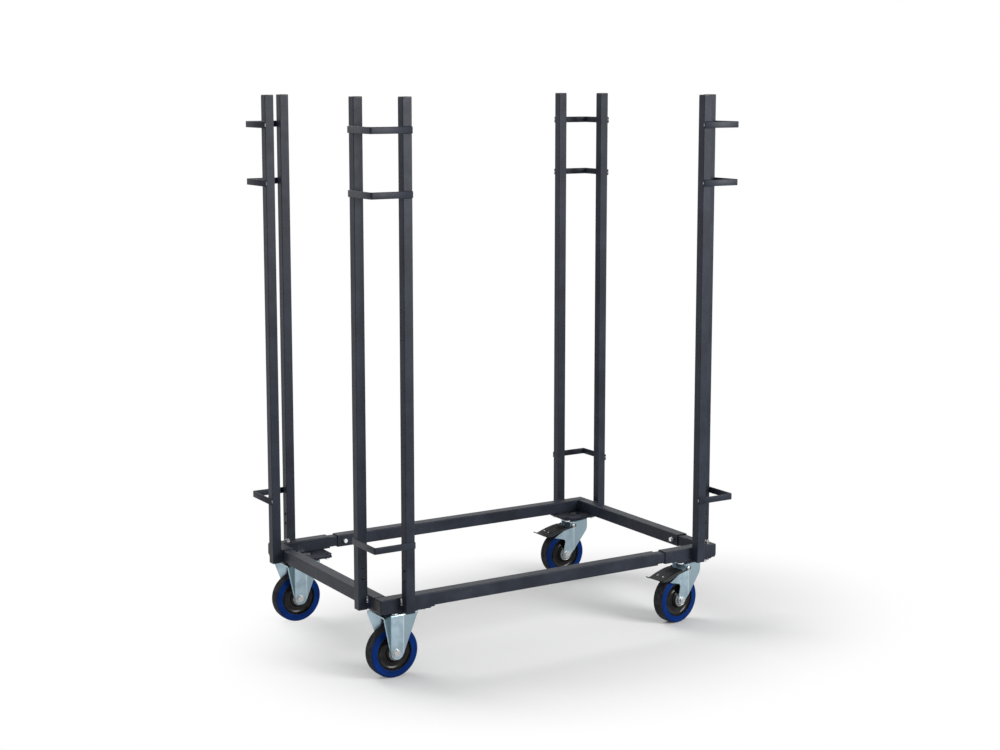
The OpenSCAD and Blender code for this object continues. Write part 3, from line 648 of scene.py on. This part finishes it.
# beads of both sides, with x and y changed over for the short one, and the joint of the two rails
def beadLines():
    rail, low, high = trolley["railSide"], trolley["railBottom"], railTop
    small, short, sunk, gap = weld["small"], weld["short"], weld["sunk"], weld["plugGap"]
    lines = sideBeads(trolley["insetLong"], weld["stitchesLong"])
    shortSide = sideBeads(trolley["insetShort"], weld["stitchesShort"])
    for (x, y, z), (endX, endY, endZ), radius, mark in shortSide:
        lines.append(((y, x, z), (endY, endX, endZ), radius, mark))
    lines.append(((weld["socketGap"], rail, high - sunk), (rail - short, rail, high - sunk), small, coated))
    lines.append(((sunk, rail, low + gap), (sunk, rail, high - gap), small, coated))
    lines.append(((rail, rail, low + short), (rail, rail, high - short), weld["seam"], coated))
    return lines


for corner in corners:
    shell = Shell()
    for start, end, radius, mark in beadLines():
        shell.loft(atCorner(beadRings(start, end, radius), corner), mark)
    makePiece(
        f"weld_beads_{corner}", shell, f"{corner}_frame", [coatFinish, weldFinish], sharp=60
    )
print("welds laid")

capShape = dict(
    side=30, height=4, corner=2.4, edge=1.3, edgeSteps=6, plugSide=36.6, plugHeight=3, plugCorner=3.2,
    dimple=0.7, domeIn=(2.2, 3.4), domeRise=0.15, cornerFall=0.6, cornerLeast=0.6,
)


# plastic cap: a rounded square that draws in over its edge and rises to a shallow dome
def capRings(side, height, radius, hollow=0.0):
    edge = capShape["edge"]
    turn = np.linspace(0, quarter, capShape["edgeSteps"])
    inset = np.concatenate([[0.0], edge * (1 - np.cos(turn)), edge + np.array(capShape["domeIn"])])
    shoulder = height - edge + edge * np.sin(turn) - capShape["domeRise"]
    rise = np.concatenate([[0.0], shoulder, [height, height - hollow]])
    rings = []
    for i, z in zip(inset, rise):
        cornerRadius = max(radius - i * capShape["cornerFall"], capShape["cornerLeast"])
        outline = roundedBox(side - 2 * i, side - 2 * i, cornerRadius)
        rings.append(np.column_stack([outline, np.full(len(outline), z)]))
    return np.stack(rings)


for corner in corners:
    shell = Shell()
    half = capShape["side"] / 2
    cap = capRings(capShape["side"], capShape["height"], capShape["corner"])
    for x, y in ((trolley["insetLong"] + half, -half), (-half, trolley["insetShort"] + half)):
        shell.loft(atCorner(cap + (x, y, trolley["postTop"]), corner))
    plug = capRings(capShape["plugSide"], capShape["plugHeight"], capShape["plugCorner"], capShape["dimple"])
    tubeEnd = (capShape["plugHeight"], trolley["railSide"] / 2, railMiddle)
    shell.fit(plug, tubeEnd, -alongX, atCorner, corner)
    makePiece(
        f"caps_{corner}", shell, f"{corner}_frame", [capFinish],
        [f"end_caps_{corner}"], sharp=50,
    )
print("caps set")

hexShape = dict(
    around=72, levels=(0.0, 0.04, 0.35, 0.66, 0.76, 0.85, 0.93, 1.0), coneTop=0.95, coneSlope=1.75,
)
thread = dict(around=40, pitch=1.5, depth=0.55, steps=6, taper=0.8)
disc = dict(around=48, edge=0.3)
screw = dict(
    radius=5.2, height=3, key=2.1, keyTop=0.97, keyFloor=0.4, around=48, domeSteps=8, domeFrom=0.06,
    domeTo=0.86, domePower=0.7, places=(311, 343),
)


# radius of a hexagon: its flat's distance / cos(angle from the middle of the nearest flat)
def hexRadius(radius, t):
    sixth = math.pi / 6
    return radius * math.cos(sixth) / np.cos((t + sixth) % (2 * sixth) - sixth)


# hexagon with its corners trimmed by a cone: the smaller of the hexagon's and the cone's radius
def hexRings(radius, height, base=0.0):
    t = fullTurn(hexShape["around"])
    z = height * np.array(hexShape["levels"])
    cone = radius * math.cos(math.pi / 6) * hexShape["coneTop"] + (height - z) * hexShape["coneSlope"]
    size = np.minimum(hexRadius(radius, t), cone[:, None])
    return np.stack([size * np.cos(t), size * np.sin(t), base + z[:, None] + 0 * t], -1)


# thread: the radius falls and rises once a pitch, and the groove climbs as the angle goes round
def threadRings(radius, length, base):
    t = fullTurn(thread["around"])
    z = np.linspace(0, length, int(length / thread["pitch"] * thread["steps"]) + 2)[:, None]
    wave = np.abs(((z / thread["pitch"] - t / (4 * quarter)) % 1) - 0.5) * 2
    size = radius - thread["depth"] * wave
    size[-1] -= thread["taper"]
    return np.stack([size * np.cos(t), size * np.sin(t), base + z + 0 * t], -1)


# flat disc with eased edges: a square profile turned about z
def discRings(radius, height, base=0.0):
    profile = [(hair, base), (radius, base), (radius, base + height), (hair, base + height)]
    return turned(eased(profile, disc["edge"]), disc["around"])


# flanged hexagon head: a disc with a hexagon on it
def headRings(piece):
    flangeHeight = piece["flangeHeight"]
    return [
        discRings(piece["flange"], flangeHeight),
        hexRings(piece["head"], piece["headHeight"] - flangeHeight, flangeHeight),
    ]


# button head: a dome with a hexagonal key hole let into its crown
def buttonRings():
    radius, height = screw["radius"], screw["height"]
    rise = np.linspace(screw["domeFrom"], screw["domeTo"], screw["domeSteps"]) * quarter
    dome = np.stack([radius * np.cos(rise) ** screw["domePower"], height * np.sin(rise)], -1)
    t = fullTurn(screw["around"])
    key = hexRadius(screw["key"], t)
    levels = height * np.array((screw["keyTop"], screw["keyFloor"]))[:, None] + 0 * t
    hole = np.stack([key * np.cos(t) + 0 * levels, key * np.sin(t) + 0 * levels, levels], -1)
    return np.concatenate([turned(np.concatenate([[(radius, 0.0)], dome]), screw["around"]), hole])


bolts = dict(
    head=9.8, headHeight=6.4, flange=9.9, flangeHeight=1.3, pitchLong=105, pitchWide=80,
    nut=dict(head=9.8, headHeight=8, flange=10.7, flangeHeight=1.5), shank=5, threadEnd=4, overlap=1,
    lock=8.6, lockHeight=6, clampHead=7.5, clampHeight=5.5, clampShank=4, clampGap=0.3,
    clampLong=987, clampShort=606,
)
plated, blackened, darker = 0, 1, 2  # finishes of the bolts


# places of the four bolts of a caster's plate, in its corner's measures
def boltSpots(corner):
    middle = trolley["casterInset"][corners[corner][0]]
    return [
        (middle + x * bolts["pitchLong"] / 2, trolley["casterSide"] + y * bolts["pitchWide"] / 2)
        for x in (-1, 1) for y in (-1, 1)
    ]


for corner in corners:
    shell = Shell()
    under = trolley["plateBottom"]
    for place, (x, y) in enumerate(boltSpots(corner)):
        longBolt = corner in throughBolted and place == 0
        for rings in headRings(bolts):
            shell.fit(rings, (x, y, under), -alongZ, atCorner, corner, darker if longBolt else plated)
    if corner in throughBolted:
        x, y = boltSpots(corner)[0]
        nut = headRings(bolts["nut"])
        nutTop = bolts["nut"]["headHeight"] - bolts["overlap"]
        nut.append(threadRings(bolts["shank"], bolts["threadEnd"] + bolts["overlap"], nutTop))
        for rings in nut:
            shell.fit(rings, (x, y, railTop), alongZ, atCorner, corner, darker)
        if corner in braked:  # lock nut below the head, clear of the small crown
            lock = hexRings(bolts["lock"], bolts["lockHeight"], bolts["headHeight"])
            shell.fit(lock, (x, y, under), -alongZ, atCorner, corner, plated)
    else:
        side, height = trolley["railSide"], bolts["clampHeight"]
        clamp = [
            hexRings(bolts["clampHead"], height),
            threadRings(bolts["clampShank"], height + bolts["overlap"], 0),
            hexRings(bolts["clampHead"], height, height + bolts["clampGap"]),
        ]
        for rings in clamp:
            shell.fit(rings, (bolts["clampLong"], side, railMiddle), alongY, atCorner, corner, plated)
            shell.fit(rings, (side, bolts["clampShort"], railMiddle), alongX, atCorner, corner, plated)
    half = trolley["postSide"] / 2
    for z in screw["places"]:
        shell.fit(buttonRings(), (trolley["insetLong"], -half, z), -alongX, atCorner, corner, blackened)
        shell.fit(buttonRings(), (-half, trolley["insetShort"], z), -alongY, atCorner, corner, blackened)
    makePiece(
        f"bolts_{corner}", shell, f"{corner}_frame", [boltFinish, screwFinish, guardFinish],
        [f"fasteners_{corner}"], sharp=28,
    )
print("bolts set")

fork = dict(
    sheet=4, bend=8, soft=1.2, frontCrease=18, frontSlope=10.5, rearCrease=61, rearFlare=38, crown=47,
    crownHalf=18.5, columns=57, legRows=78, endRows=9, bendRows=8, crownRows=14, edgeSteps=(12, 8),
    rim=0.6, rimAngle=50, mapUnit=100,
)
# with a brake and without: the round end's middle and radius, then points of height and x up the rear
# edge and the front edge; the front edge leaves the round end towards aim
forkLegs = {
    True: dict(
        middle=-50, radius=15, aim=(160, 46),
        rear=(
            (118, -57.2), (126, -55.8), (130.5, -56.6), (134, -59.2), (136.2, -63), (137.6, -68),
            (143.6, -95), (144.6, -98.6), (146, -100), (147.4, -98.4), (166.5, -62.5),
            (170.6, -45), (174.4, -34), (181, -32.2), (201, -32),
        ),
        front=((152, 39.4), (158, 43.6), (164, 45.6), (170, 46), (201, 46)),
    ),
    False: dict(
        middle=-39, radius=21, aim=(201, 40), rear=((81, -60.4), (195, -95), (201, -95)), front=((201, 40),),
    ),
}


# smooth ramp: soft * log(1 + exp(x / soft)), nearly zero before 0 and nearly x after it
def ramp(x):
    return fork["soft"] * np.logaddexp(0, x / fork["soft"])


# distance of a leg's outer face from the middle: flat between two creases, drawn in before them
# and, on a fork without a brake, flared behind
def legFace(x, hasBrake):
    slope = math.tan(math.radians(fork["frontSlope"]))
    face = trolley["legOutside"] - slope * ramp(x + fork["frontCrease"])
    if not hasBrake:
        face = face + math.tan(math.radians(fork["rearFlare"])) * ramp(-fork["rearCrease"] - x)
    return face


# rear and front edges of a leg as lines of height and x: an arc round the axle, then the listed points
def legEdges(hasBrake):
    leg = forkLegs[hasBrake]
    axleHeight, middle, radius = trolley["axleHeight"], leg["middle"], leg["radius"]
    lean = math.atan2(leg["aim"][0] - axleHeight, leg["aim"][1] - middle)
    rearTurn = np.linspace(0, quarter, fork["edgeSteps"][0])
    frontTurn = np.linspace(0, lean, fork["edgeSteps"][1])
    rearEnd = np.stack([axleHeight - radius * np.cos(rearTurn), middle - radius * np.sin(rearTurn)], -1)
    frontEnd = np.stack([axleHeight - radius * np.cos(frontTurn), middle + radius * np.sin(frontTurn)], -1)
    return np.concatenate([rearEnd, leg["rear"]]), np.concatenate([frontEnd, leg["front"]])


# pressed fork: the section goes up one leg, round a bend, over the crown and down the other leg,
# and at each level a straight line runs from the rear edge to the front edge
def forkSheet(hasBrake):
    axleHeight, top = trolley["axleHeight"], trolley["crownTop"]
    bend, crownReach = fork["bend"], fork["crown"]
    turn = np.linspace(0, quarter, fork["endRows"])
    levels = np.concatenate([
        axleHeight - forkLegs[hasBrake]["radius"] * np.cos(turn),
        np.linspace(axleHeight, top - bend, fork["legRows"])[1:],
    ])
    rear, front = legEdges(hasBrake)
    across = np.linspace(0, 1, fork["columns"])
    rearX = np.interp(levels, rear[:, 0], rear[:, 1])
    frontX = np.interp(levels, front[:, 0], front[:, 1])
    legX = rearX[:, None] + (frontX - rearX)[:, None] * across
    leg = np.stack([legX, -legFace(legX, hasBrake), levels[:, None] + 0 * legX], -1)
    arc = np.linspace(0, quarter, fork["bendRows"])[1:]
    inward = np.linspace(0, 1, fork["crownRows"])[1:]
    share = np.concatenate([np.zeros(len(arc)), inward])  # 0 at the leg, 1 at the middle of the crown
    reach = np.sqrt(crownReach ** 2 - (fork["crownHalf"] * (1 - share)) ** 2)
    crownFront = frontX[-1] + (reach - reach[0]) * (crownReach - frontX[-1]) / (crownReach - reach[0])
    hollow = np.sqrt(crownReach ** 2 - (trolley["legOutside"] * (1 - share)) ** 2)
    crownRear = -hollow if hasBrake else np.full(len(share), rearX[-1])
    crownX = crownRear[:, None] + (crownFront - crownRear)[:, None] * across
    face = legFace(crownX, hasBrake)
    bendIn = np.concatenate([bend * (1 - np.cos(arc)), np.full(len(inward), bend)])[:, None]
    drop = np.concatenate([bend * (1 - np.sin(arc)), np.zeros(len(inward))])[:, None]
    crown = np.stack([crownX, -(face - bendIn) * (1 - share)[:, None], top - drop + 0 * crownX], -1)
    half = np.concatenate([leg, crown])
    return np.concatenate([half, half[-2::-1] * (1, -1, 1)])


for corner in corners:
    hasBrake = corner in braked
    shell = Shell().grid(atCaster(forkSheet(hasBrake), corner))
    made = makePiece(
        f"fork_sheet_{corner}", shell, f"caster_{corner}", [zincFinish, zincInside],
        [f"fork_{corner}"], inside=middleOf(f"tyre_{corner}"),
    )
    along = casterPlaces(made, corner)[:, 0]
    if hasBrake:
        along = np.maximum(along, 1 - fork["rearCrease"])  # its wings have no flange
    # u places the painted shade on the flanges and the painted highlight on the front crease
    ownMap(made, "sheet", np.stack([along / fork["mapUnit"], 0 * along], -1))
    thicken(made, fork["sheet"], inner=1, even=True)
    breakEdges(made, fork["rim"], fork["rimAngle"])
print("forks pressed")

# guardLine and pinLine are profiles of radius and height
axleSet = dict(
    head=11, headHeight=8, flange=12.5, flangeHeight=1.6, shank=6, threadEnd=2, overlap=1, sleeve=10,
    guardLine=((hair, 0), (23, 0), (23, 2), (21, 2), (20, 1), (18, 1), (17, 2), (hair, 2)), guardEase=0.5,
    guardInside=25.4, pinLine=((hair, 0), (6, 0), (6, 1.1), (3.6, 2.5), (hair, 2.5)), pinEase=0.7,
    pinAround=40, pinX=-23, pinHeight=184, pinFace=35.3, pinNeck=4, pinInside=28,
)
headMark, guardMark = 0, 1  # finishes of the axle set

for corner in corners:
    shell = Shell()
    x, y, z = axleSpot(corner)
    inside = axleSet["guardInside"]
    for side in (-1, 1):
        rings = headRings(axleSet)
        if side > 0:
            threadLength = axleSet["threadEnd"] + axleSet["overlap"]
            headTop = axleSet["headHeight"] - axleSet["overlap"]
            rings.append(threadRings(axleSet["shank"], threadLength, headTop))
        for ring in rings:
            shell.fit(ring, (x, side * trolley["legOutside"], z), side * alongY, atCaster, corner, headMark)
        guard = turned(eased(axleSet["guardLine"], axleSet["guardEase"]))
        shell.fit(guard, (x, side * inside, z), side * alongY, atCaster, corner, guardMark)
        if corner in braked:
            pinX, pinZ = axleSet["pinX"], axleSet["pinHeight"]
            pin = turned(eased(axleSet["pinLine"], axleSet["pinEase"]), axleSet["pinAround"])
            neck = discRings(axleSet["pinNeck"], axleSet["pinFace"] - axleSet["pinInside"])
            for rings, start in ((pin, axleSet["pinFace"]), (neck, axleSet["pinInside"])):
                shell.fit(rings, (pinX, side * start, pinZ), side * alongY, atCaster, corner, headMark)
    sleeve = discRings(axleSet["sleeve"], 2 * inside)
    shell.fit(sleeve, (x, -inside, z), alongY, atCaster, corner, headMark)
    makePiece(
        f"axle_set_{corner}", shell, f"caster_{corner}", [axleFinish, guardFinish],
        [f"axle_{corner}"], sharp=28,
    )
print("axles fitted")

# bossLine and lipLine are points of radius and distance from the wheel's middle
hub = dict(
    bossLine=(
        (10.05, 22), (11.05, 25), (20, 25), (20.6, 24.3), (22.6, 24.3), (23.2, 25), (24.8, 24.2), (25, 20.9),
    ),
    lipLine=((55.4, 20.3), (55.8, 19.5), (56.9, 19.5)), rimHalf=20.3,
    dishMiddle=41, dishReach=14.1, dishDepth=10, dishSteps=17, ease=0.6, around=96,
)


# moulded hub: boss, a round hollow and a rim, mirrored about the wheel's middle and turned about the axle
def hubRings():
    r = np.linspace(-1, 1, hub["dishSteps"])
    dish = np.stack([
        hub["dishMiddle"] + hub["dishReach"] * r,
        hub["rimHalf"] - hub["dishDepth"] * np.sqrt(np.clip(1 - r ** 2, 0, 1)),
    ], -1)
    side = eased(np.concatenate([hub["bossLine"], dish, hub["lipLine"]]), hub["ease"])
    return turned(np.concatenate([side, side[::-1] * (1, -1)]), hub["around"])


# wallLine is points of radius and distance from the wheel's middle
tyre = dict(
    outside=80, half=21.5, shoulder=6.5, shoulderSteps=9, crown=0.7, treadSteps=8, ease=0.7, around=144,
    wallLine=((57.05, 19.9), (57.65, 20.8), (59.25, 21.2), (60.25, 20.9), (68.5, 20.9), (70.5, 21.5)),
)


# tyre: walls with a shallow groove, round shoulders and a tread crowned by a parabola, turned about the axle
def tyreRings():
    radius, level = tyre["shoulder"], tyre["half"] - tyre["shoulder"]
    turn = np.linspace(0, quarter, tyre["shoulderSteps"])
    shoulder = np.stack([
        tyre["outside"] - tyre["crown"] - radius + radius * np.sin(turn), level + radius * np.cos(turn),
    ], -1)
    share = np.linspace(1, 0, tyre["treadSteps"])[1:]
    tread = np.stack([tyre["outside"] - tyre["crown"] * share ** 2, share * level], -1)
    side = np.concatenate([eased(tyre["wallLine"], tyre["ease"]), shoulder, tread])
    return turned(np.concatenate([side, side[-2::-1] * (1, -1)]), tyre["around"])


for corner in corners:
    middle = axleSpot(corner)
    body = f"rolling_wheel_{corner}"
    shell = Shell().grid(atCaster(aimed(hubRings(), middle, alongY), corner), loopU=True, loopV=True)
    makePiece(f"hub_{corner}", shell, body, [hubFinish], [f"wheel_{corner}"])
    shell = Shell().grid(atCaster(aimed(tyreRings(), middle, alongY), corner), loopU=True, loopV=True)
    made = makePiece(f"tread_{corner}", shell, body, [tyreFinish], [f"tyre_{corner}"])
    spots = casterPlaces(made, corner) - middle
    radius = np.hypot(spots[:, 0], spots[:, 2])
    ownMap(made, "wall", np.stack([radius / tyre["outside"], np.abs(spots[:, 1]) / tyre["half"]], -1))
print("wheels turned")

# distances of front, cover, fallFrom and reach are behind the swivel axis; rivetLine is radius and height
pedal = dict(
    outside=35, wall=3, bend=5, bendSteps=7, front=12, cover=48.5, crest=181, fallFrom=50, reach=136,
    fall=22, fallPower=1.5, lip=6, lipLength=16, lipPower=1.3, lipFlat=0.9, toeIn=4, skirtFront=186.2,
    skirtLow=((12, 178.5), (62, 169), (114, 151.5), (136, 153.5)), hem=1.0, hemRise=3, hemWidth=1.4,
    ridge=0.9, ridgePitch=12, ridgePower=1.5, ridgeStart=5, ridgeFade=8, ridgeHalf=28, ridgeEdge=2,
    frontRows=13, coverRows=52, lipRows=14, skirtRows=15, coverColumns=34, rim=0.5, rimAngle=50,
    rivets=((-117, 13), (-117, -13)), rivetLine=((hair, -1.2), (2.9, -1.2), (2.9, 0.2), (hair, 1.1)),
    rivetEase=0.7, rivetAround=32,
)


# height of the cover: level crest, a fall that goes by a power of the distance, a lip that turns up
def coverTop(x):
    fallen = np.clip((-x - pedal["fallFrom"]) / (pedal["reach"] - pedal["fallFrom"]), 0, 1)
    past = np.clip((-x - pedal["reach"]) / pedal["lipLength"], 0, 1)
    fall, lip = pedal["fall"] * fallen ** pedal["fallPower"], pedal["lip"] * past ** pedal["lipPower"]
    return pedal["crest"] - fall + lip


# skirt of the pedal: straight lines from a lower to an upper edge, and a hem that bulges as a bell curve
def skirtGrid():
    coverStart, bend = -pedal["cover"], pedal["bend"]
    x = np.concatenate([
        np.linspace(-pedal["front"], coverStart, pedal["frontRows"]),
        np.linspace(coverStart, -pedal["reach"], pedal["coverRows"])[1:],
    ])
    rise = np.interp(-x, (pedal["front"], pedal["cover"]), (pedal["skirtFront"], pedal["crest"] - bend))
    upper = np.where(x > coverStart, rise, coverTop(x) - bend)
    lower = np.interp(-x, *np.transpose(pedal["skirtLow"]))
    share = np.linspace(0, 1, pedal["skirtRows"])[:, None]
    z = lower + (upper - lower) * share
    bulge = pedal["hem"] * np.exp(-((z - lower - pedal["hemRise"]) / pedal["hemWidth"]) ** 2)
    z = z - np.where(x > coverStart, 0, pedal["ridge"] * share)  # meets the cover between its ridges
    return np.stack([x + 0 * z, pedal["outside"] + bulge, z], -1)


# cover of the pedal: round bends at both sides, cosine ridges along it and a toe with rounded corners
def coverGrid():
    coverStart, reach, bend, ridge = -pedal["cover"], -pedal["reach"], pedal["bend"], pedal["ridge"]
    along = np.concatenate([
        np.linspace(coverStart, reach, pedal["coverRows"]),
        np.linspace(reach, reach - pedal["lipLength"], pedal["lipRows"])[1:],
    ])
    past = np.clip((reach - along) / pedal["lipLength"], 0, 1)
    half = pedal["outside"] - pedal["toeIn"] * past ** 4
    arc = np.linspace(0, quarter, pedal["bendSteps"])
    inner = np.linspace(1, 0, pedal["coverColumns"])[1:]
    sideIn = np.concatenate([bend * (1 - np.cos(arc)), np.full(len(inner), bend)])
    drop = np.concatenate([bend * (1 - np.sin(arc)), np.zeros(len(inner))])
    y = (half[:, None] - sideIn) * np.concatenate([np.ones(len(arc)), inner])
    wave = np.clip(np.cos(4 * quarter * y / pedal["ridgePitch"]), 0, 1) ** pedal["ridgePower"]
    fadeIn = np.clip((coverStart - pedal["ridgeStart"] - along) / pedal["ridgeFade"], 0, 1)
    fadeOut = np.clip((along - reach) / pedal["ridgeFade"], 0, 1)
    within = np.clip((pedal["ridgeHalf"] - np.abs(y)) / pedal["ridgeEdge"], 0, 1)
    z = coverTop(along)[:, None] - drop * (1 - pedal["lipFlat"] * np.sqrt(past)[:, None]) - ridge
    z = z + ridge * wave * (fadeIn * fadeOut)[:, None] * within
    right = np.stack([along[:, None] + 0 * y, y, z], -1)
    return np.concatenate([right, (right * (1, -1, 1))[:, -2::-1]], 1)


shoe = dict(
    front=-62, back=-86, steps=13, half=15, middle=(-67.65, 86.3), radius=81.8, sink=1,
    edge=0.08, edgeSteps=4,
)


# brake block: its foot is part of a cylinder that comes close to the tyre when the pedal is down,
# and its top lies under the cover
def shoeRings():
    x = np.linspace(shoe["front"], shoe["back"], shoe["steps"])[:, None]
    foot = shoe["middle"][1] + np.sqrt(shoe["radius"] ** 2 - (x - shoe["middle"][0]) ** 2)
    head = coverTop(x) - pedal["wall"] - pedal["ridge"] + shoe["sink"]
    y, z = roundedBox(2, 2, shoe["edge"], shoe["edgeSteps"]).T
    return np.stack([x + 0 * y, shoe["half"] * y + 0 * x, (head + foot) / 2 + (head - foot) / 2 * z], -1)


for corner in braked:
    body = f"pedal_{corner}"
    skirt = skirtGrid()
    shell = Shell()
    for grid in (skirt, skirt * (1, -1, 1), coverGrid()):
        shell.grid(atCaster(grid, corner))
    made = makePiece(
        f"pedal_{corner}", shell, body, [pedalFinish], [f"brake_pedal_{corner}"],
        inside=middleOf(f"brake_shoe_{corner}"),
    )
    thicken(made, pedal["wall"])
    breakEdges(made, pedal["rim"], pedal["rimAngle"])
    shell = Shell().loft(atCaster(shoeRings(), corner))
    makePiece(
        f"shoe_block_{corner}", shell, body, [shoeFinish], [f"brake_shoe_{corner}"], sharp=30
    )
    shell = Shell()
    rivet = turned(eased(pedal["rivetLine"], pedal["rivetEase"]), pedal["rivetAround"])
    for x, y in pedal["rivets"]:
        shell.fit(rivet, (x, y, coverTop(x)), alongZ, atCaster, corner)
    makePiece(f"pedal_rivets_{corner}", shell, body, [boltFinish])
print("pedals pressed")

stage = dict(
    size=14.0, below=0.0002, near=0.62, far=1.2, middle=(0.22, -0.2, 0.0), spread=(0.95, 1.25, 1.0),
    floor=rgb(0.79, 0.79, 0.79), white=rgb(1, 1, 1),
)


# pale floor: plain near the object, so that it keeps the shadow, and white further out
def floorFinish():
    finish = Finish("studio_floor")
    spot = finish.node(
        "ShaderNodeVectorMath", {"operation": "SUBTRACT"}, {0: finish.place(), 1: stage["middle"]}
    )
    spot = finish.node("ShaderNodeVectorMath", {"operation": "MULTIPLY"}, {0: spot, 1: stage["spread"]})
    away = finish.node("ShaderNodeVectorMath", {"operation": "LENGTH"}, {0: spot}, output="Value")
    share = away.step(stage["near"], stage["far"])
    matt = finish.node("ShaderNodeBsdfDiffuse", sockets={"Color": stage["floor"]})
    glow = finish.node("ShaderNodeEmission", sockets={"Color": stage["white"], "Strength": 1.0})
    mixed = finish.node("ShaderNodeMixShader", sockets={0: share, 1: matt, 2: glow})
    finish.node("ShaderNodeOutputMaterial", sockets={"Surface": mixed})
    return finish.holder


edge = np.linspace(-stage["size"], stage["size"], 3)
floorX, floorY = np.meshgrid(edge, edge, indexing="ij")
floorMesh = Shell().grid(np.stack([floorX, floorY, 0 * floorX - stage["below"]], -1)).mesh("floor")
floorMesh.materials.append(floorFinish())
floor = bpy.data.objects.new("floor", floorMesh)
bpy.context.scene.collection.objects.link(floor)

light = dict(
    sky=0.46,
    key=dict(power=130, size=3.6, at=(-1.3, 3.2, 4.2), aim=(0, 0, 0.4)),
    fill=dict(power=230, size=2.4, at=(2.2, -4.4, 2.0), aim=(0, 0, 0.9)),
)


# white for what the camera and mirror-like surfaces see, a plain grey-white sky for the rest
def skyFinish():
    finish = Finish("studio_sky", world=True)
    rays = ("Is Camera Ray", "Is Glossy Ray", "Is Transmission Ray")
    seen, mirrored, through = (finish.node("ShaderNodeLightPath", output=ray) for ray in rays)
    strength = seen.most(mirrored).most(through) * (1 - light["sky"]) + light["sky"]
    sky = finish.node("ShaderNodeBackground", sockets={"Color": stage["white"], "Strength": strength})
    finish.node("ShaderNodeOutputWorld", sockets={"Surface": sky})
    return finish.holder


bpy.context.scene.world = skyFinish()


# round lamp that faces the point given
def softBox(name, power, size, at, aim):
    lamp = bpy.data.lights.new(name, "AREA")
    lamp.energy = power
    lamp.shape = "DISK"
    lamp.size = size
    made = bpy.data.objects.new(name, lamp)
    made.location = at
    away = np.array(at) - np.array(aim)
    tilt = math.atan2(math.hypot(away[0], away[1]), away[2])
    made.rotation_euler = (tilt, 0, math.atan2(away[1], away[0]) + quarter)
    bpy.context.scene.collection.objects.link(made)


softBox("key", **light["key"])
softBox("fill", **light["fill"])

view = dict(
    lens=64.34, sensor=36, shiftY=-0.04, farthest=60, at=(-2.9914, -4.8895, 1.7724), yaw=31.730, pitch=8.160,
)
lens = bpy.data.cameras.new("photo_camera")
lens.lens = view["lens"]
lens.sensor_width = view["sensor"]
lens.shift_y = view["shiftY"]
lens.clip_end = view["farthest"]
camera = bpy.data.objects.new("photo_camera", lens)
camera.location = view["at"]
camera.rotation_euler = (math.radians(90 - view["pitch"]), 0, -math.radians(view["yaw"]))
bpy.context.scene.collection.objects.link(camera)
bpy.context.scene.camera = camera
bpy.context.scene.view_settings.view_transform = "Standard"
print("stage, light and camera set")

bpy.context.view_layer.update()
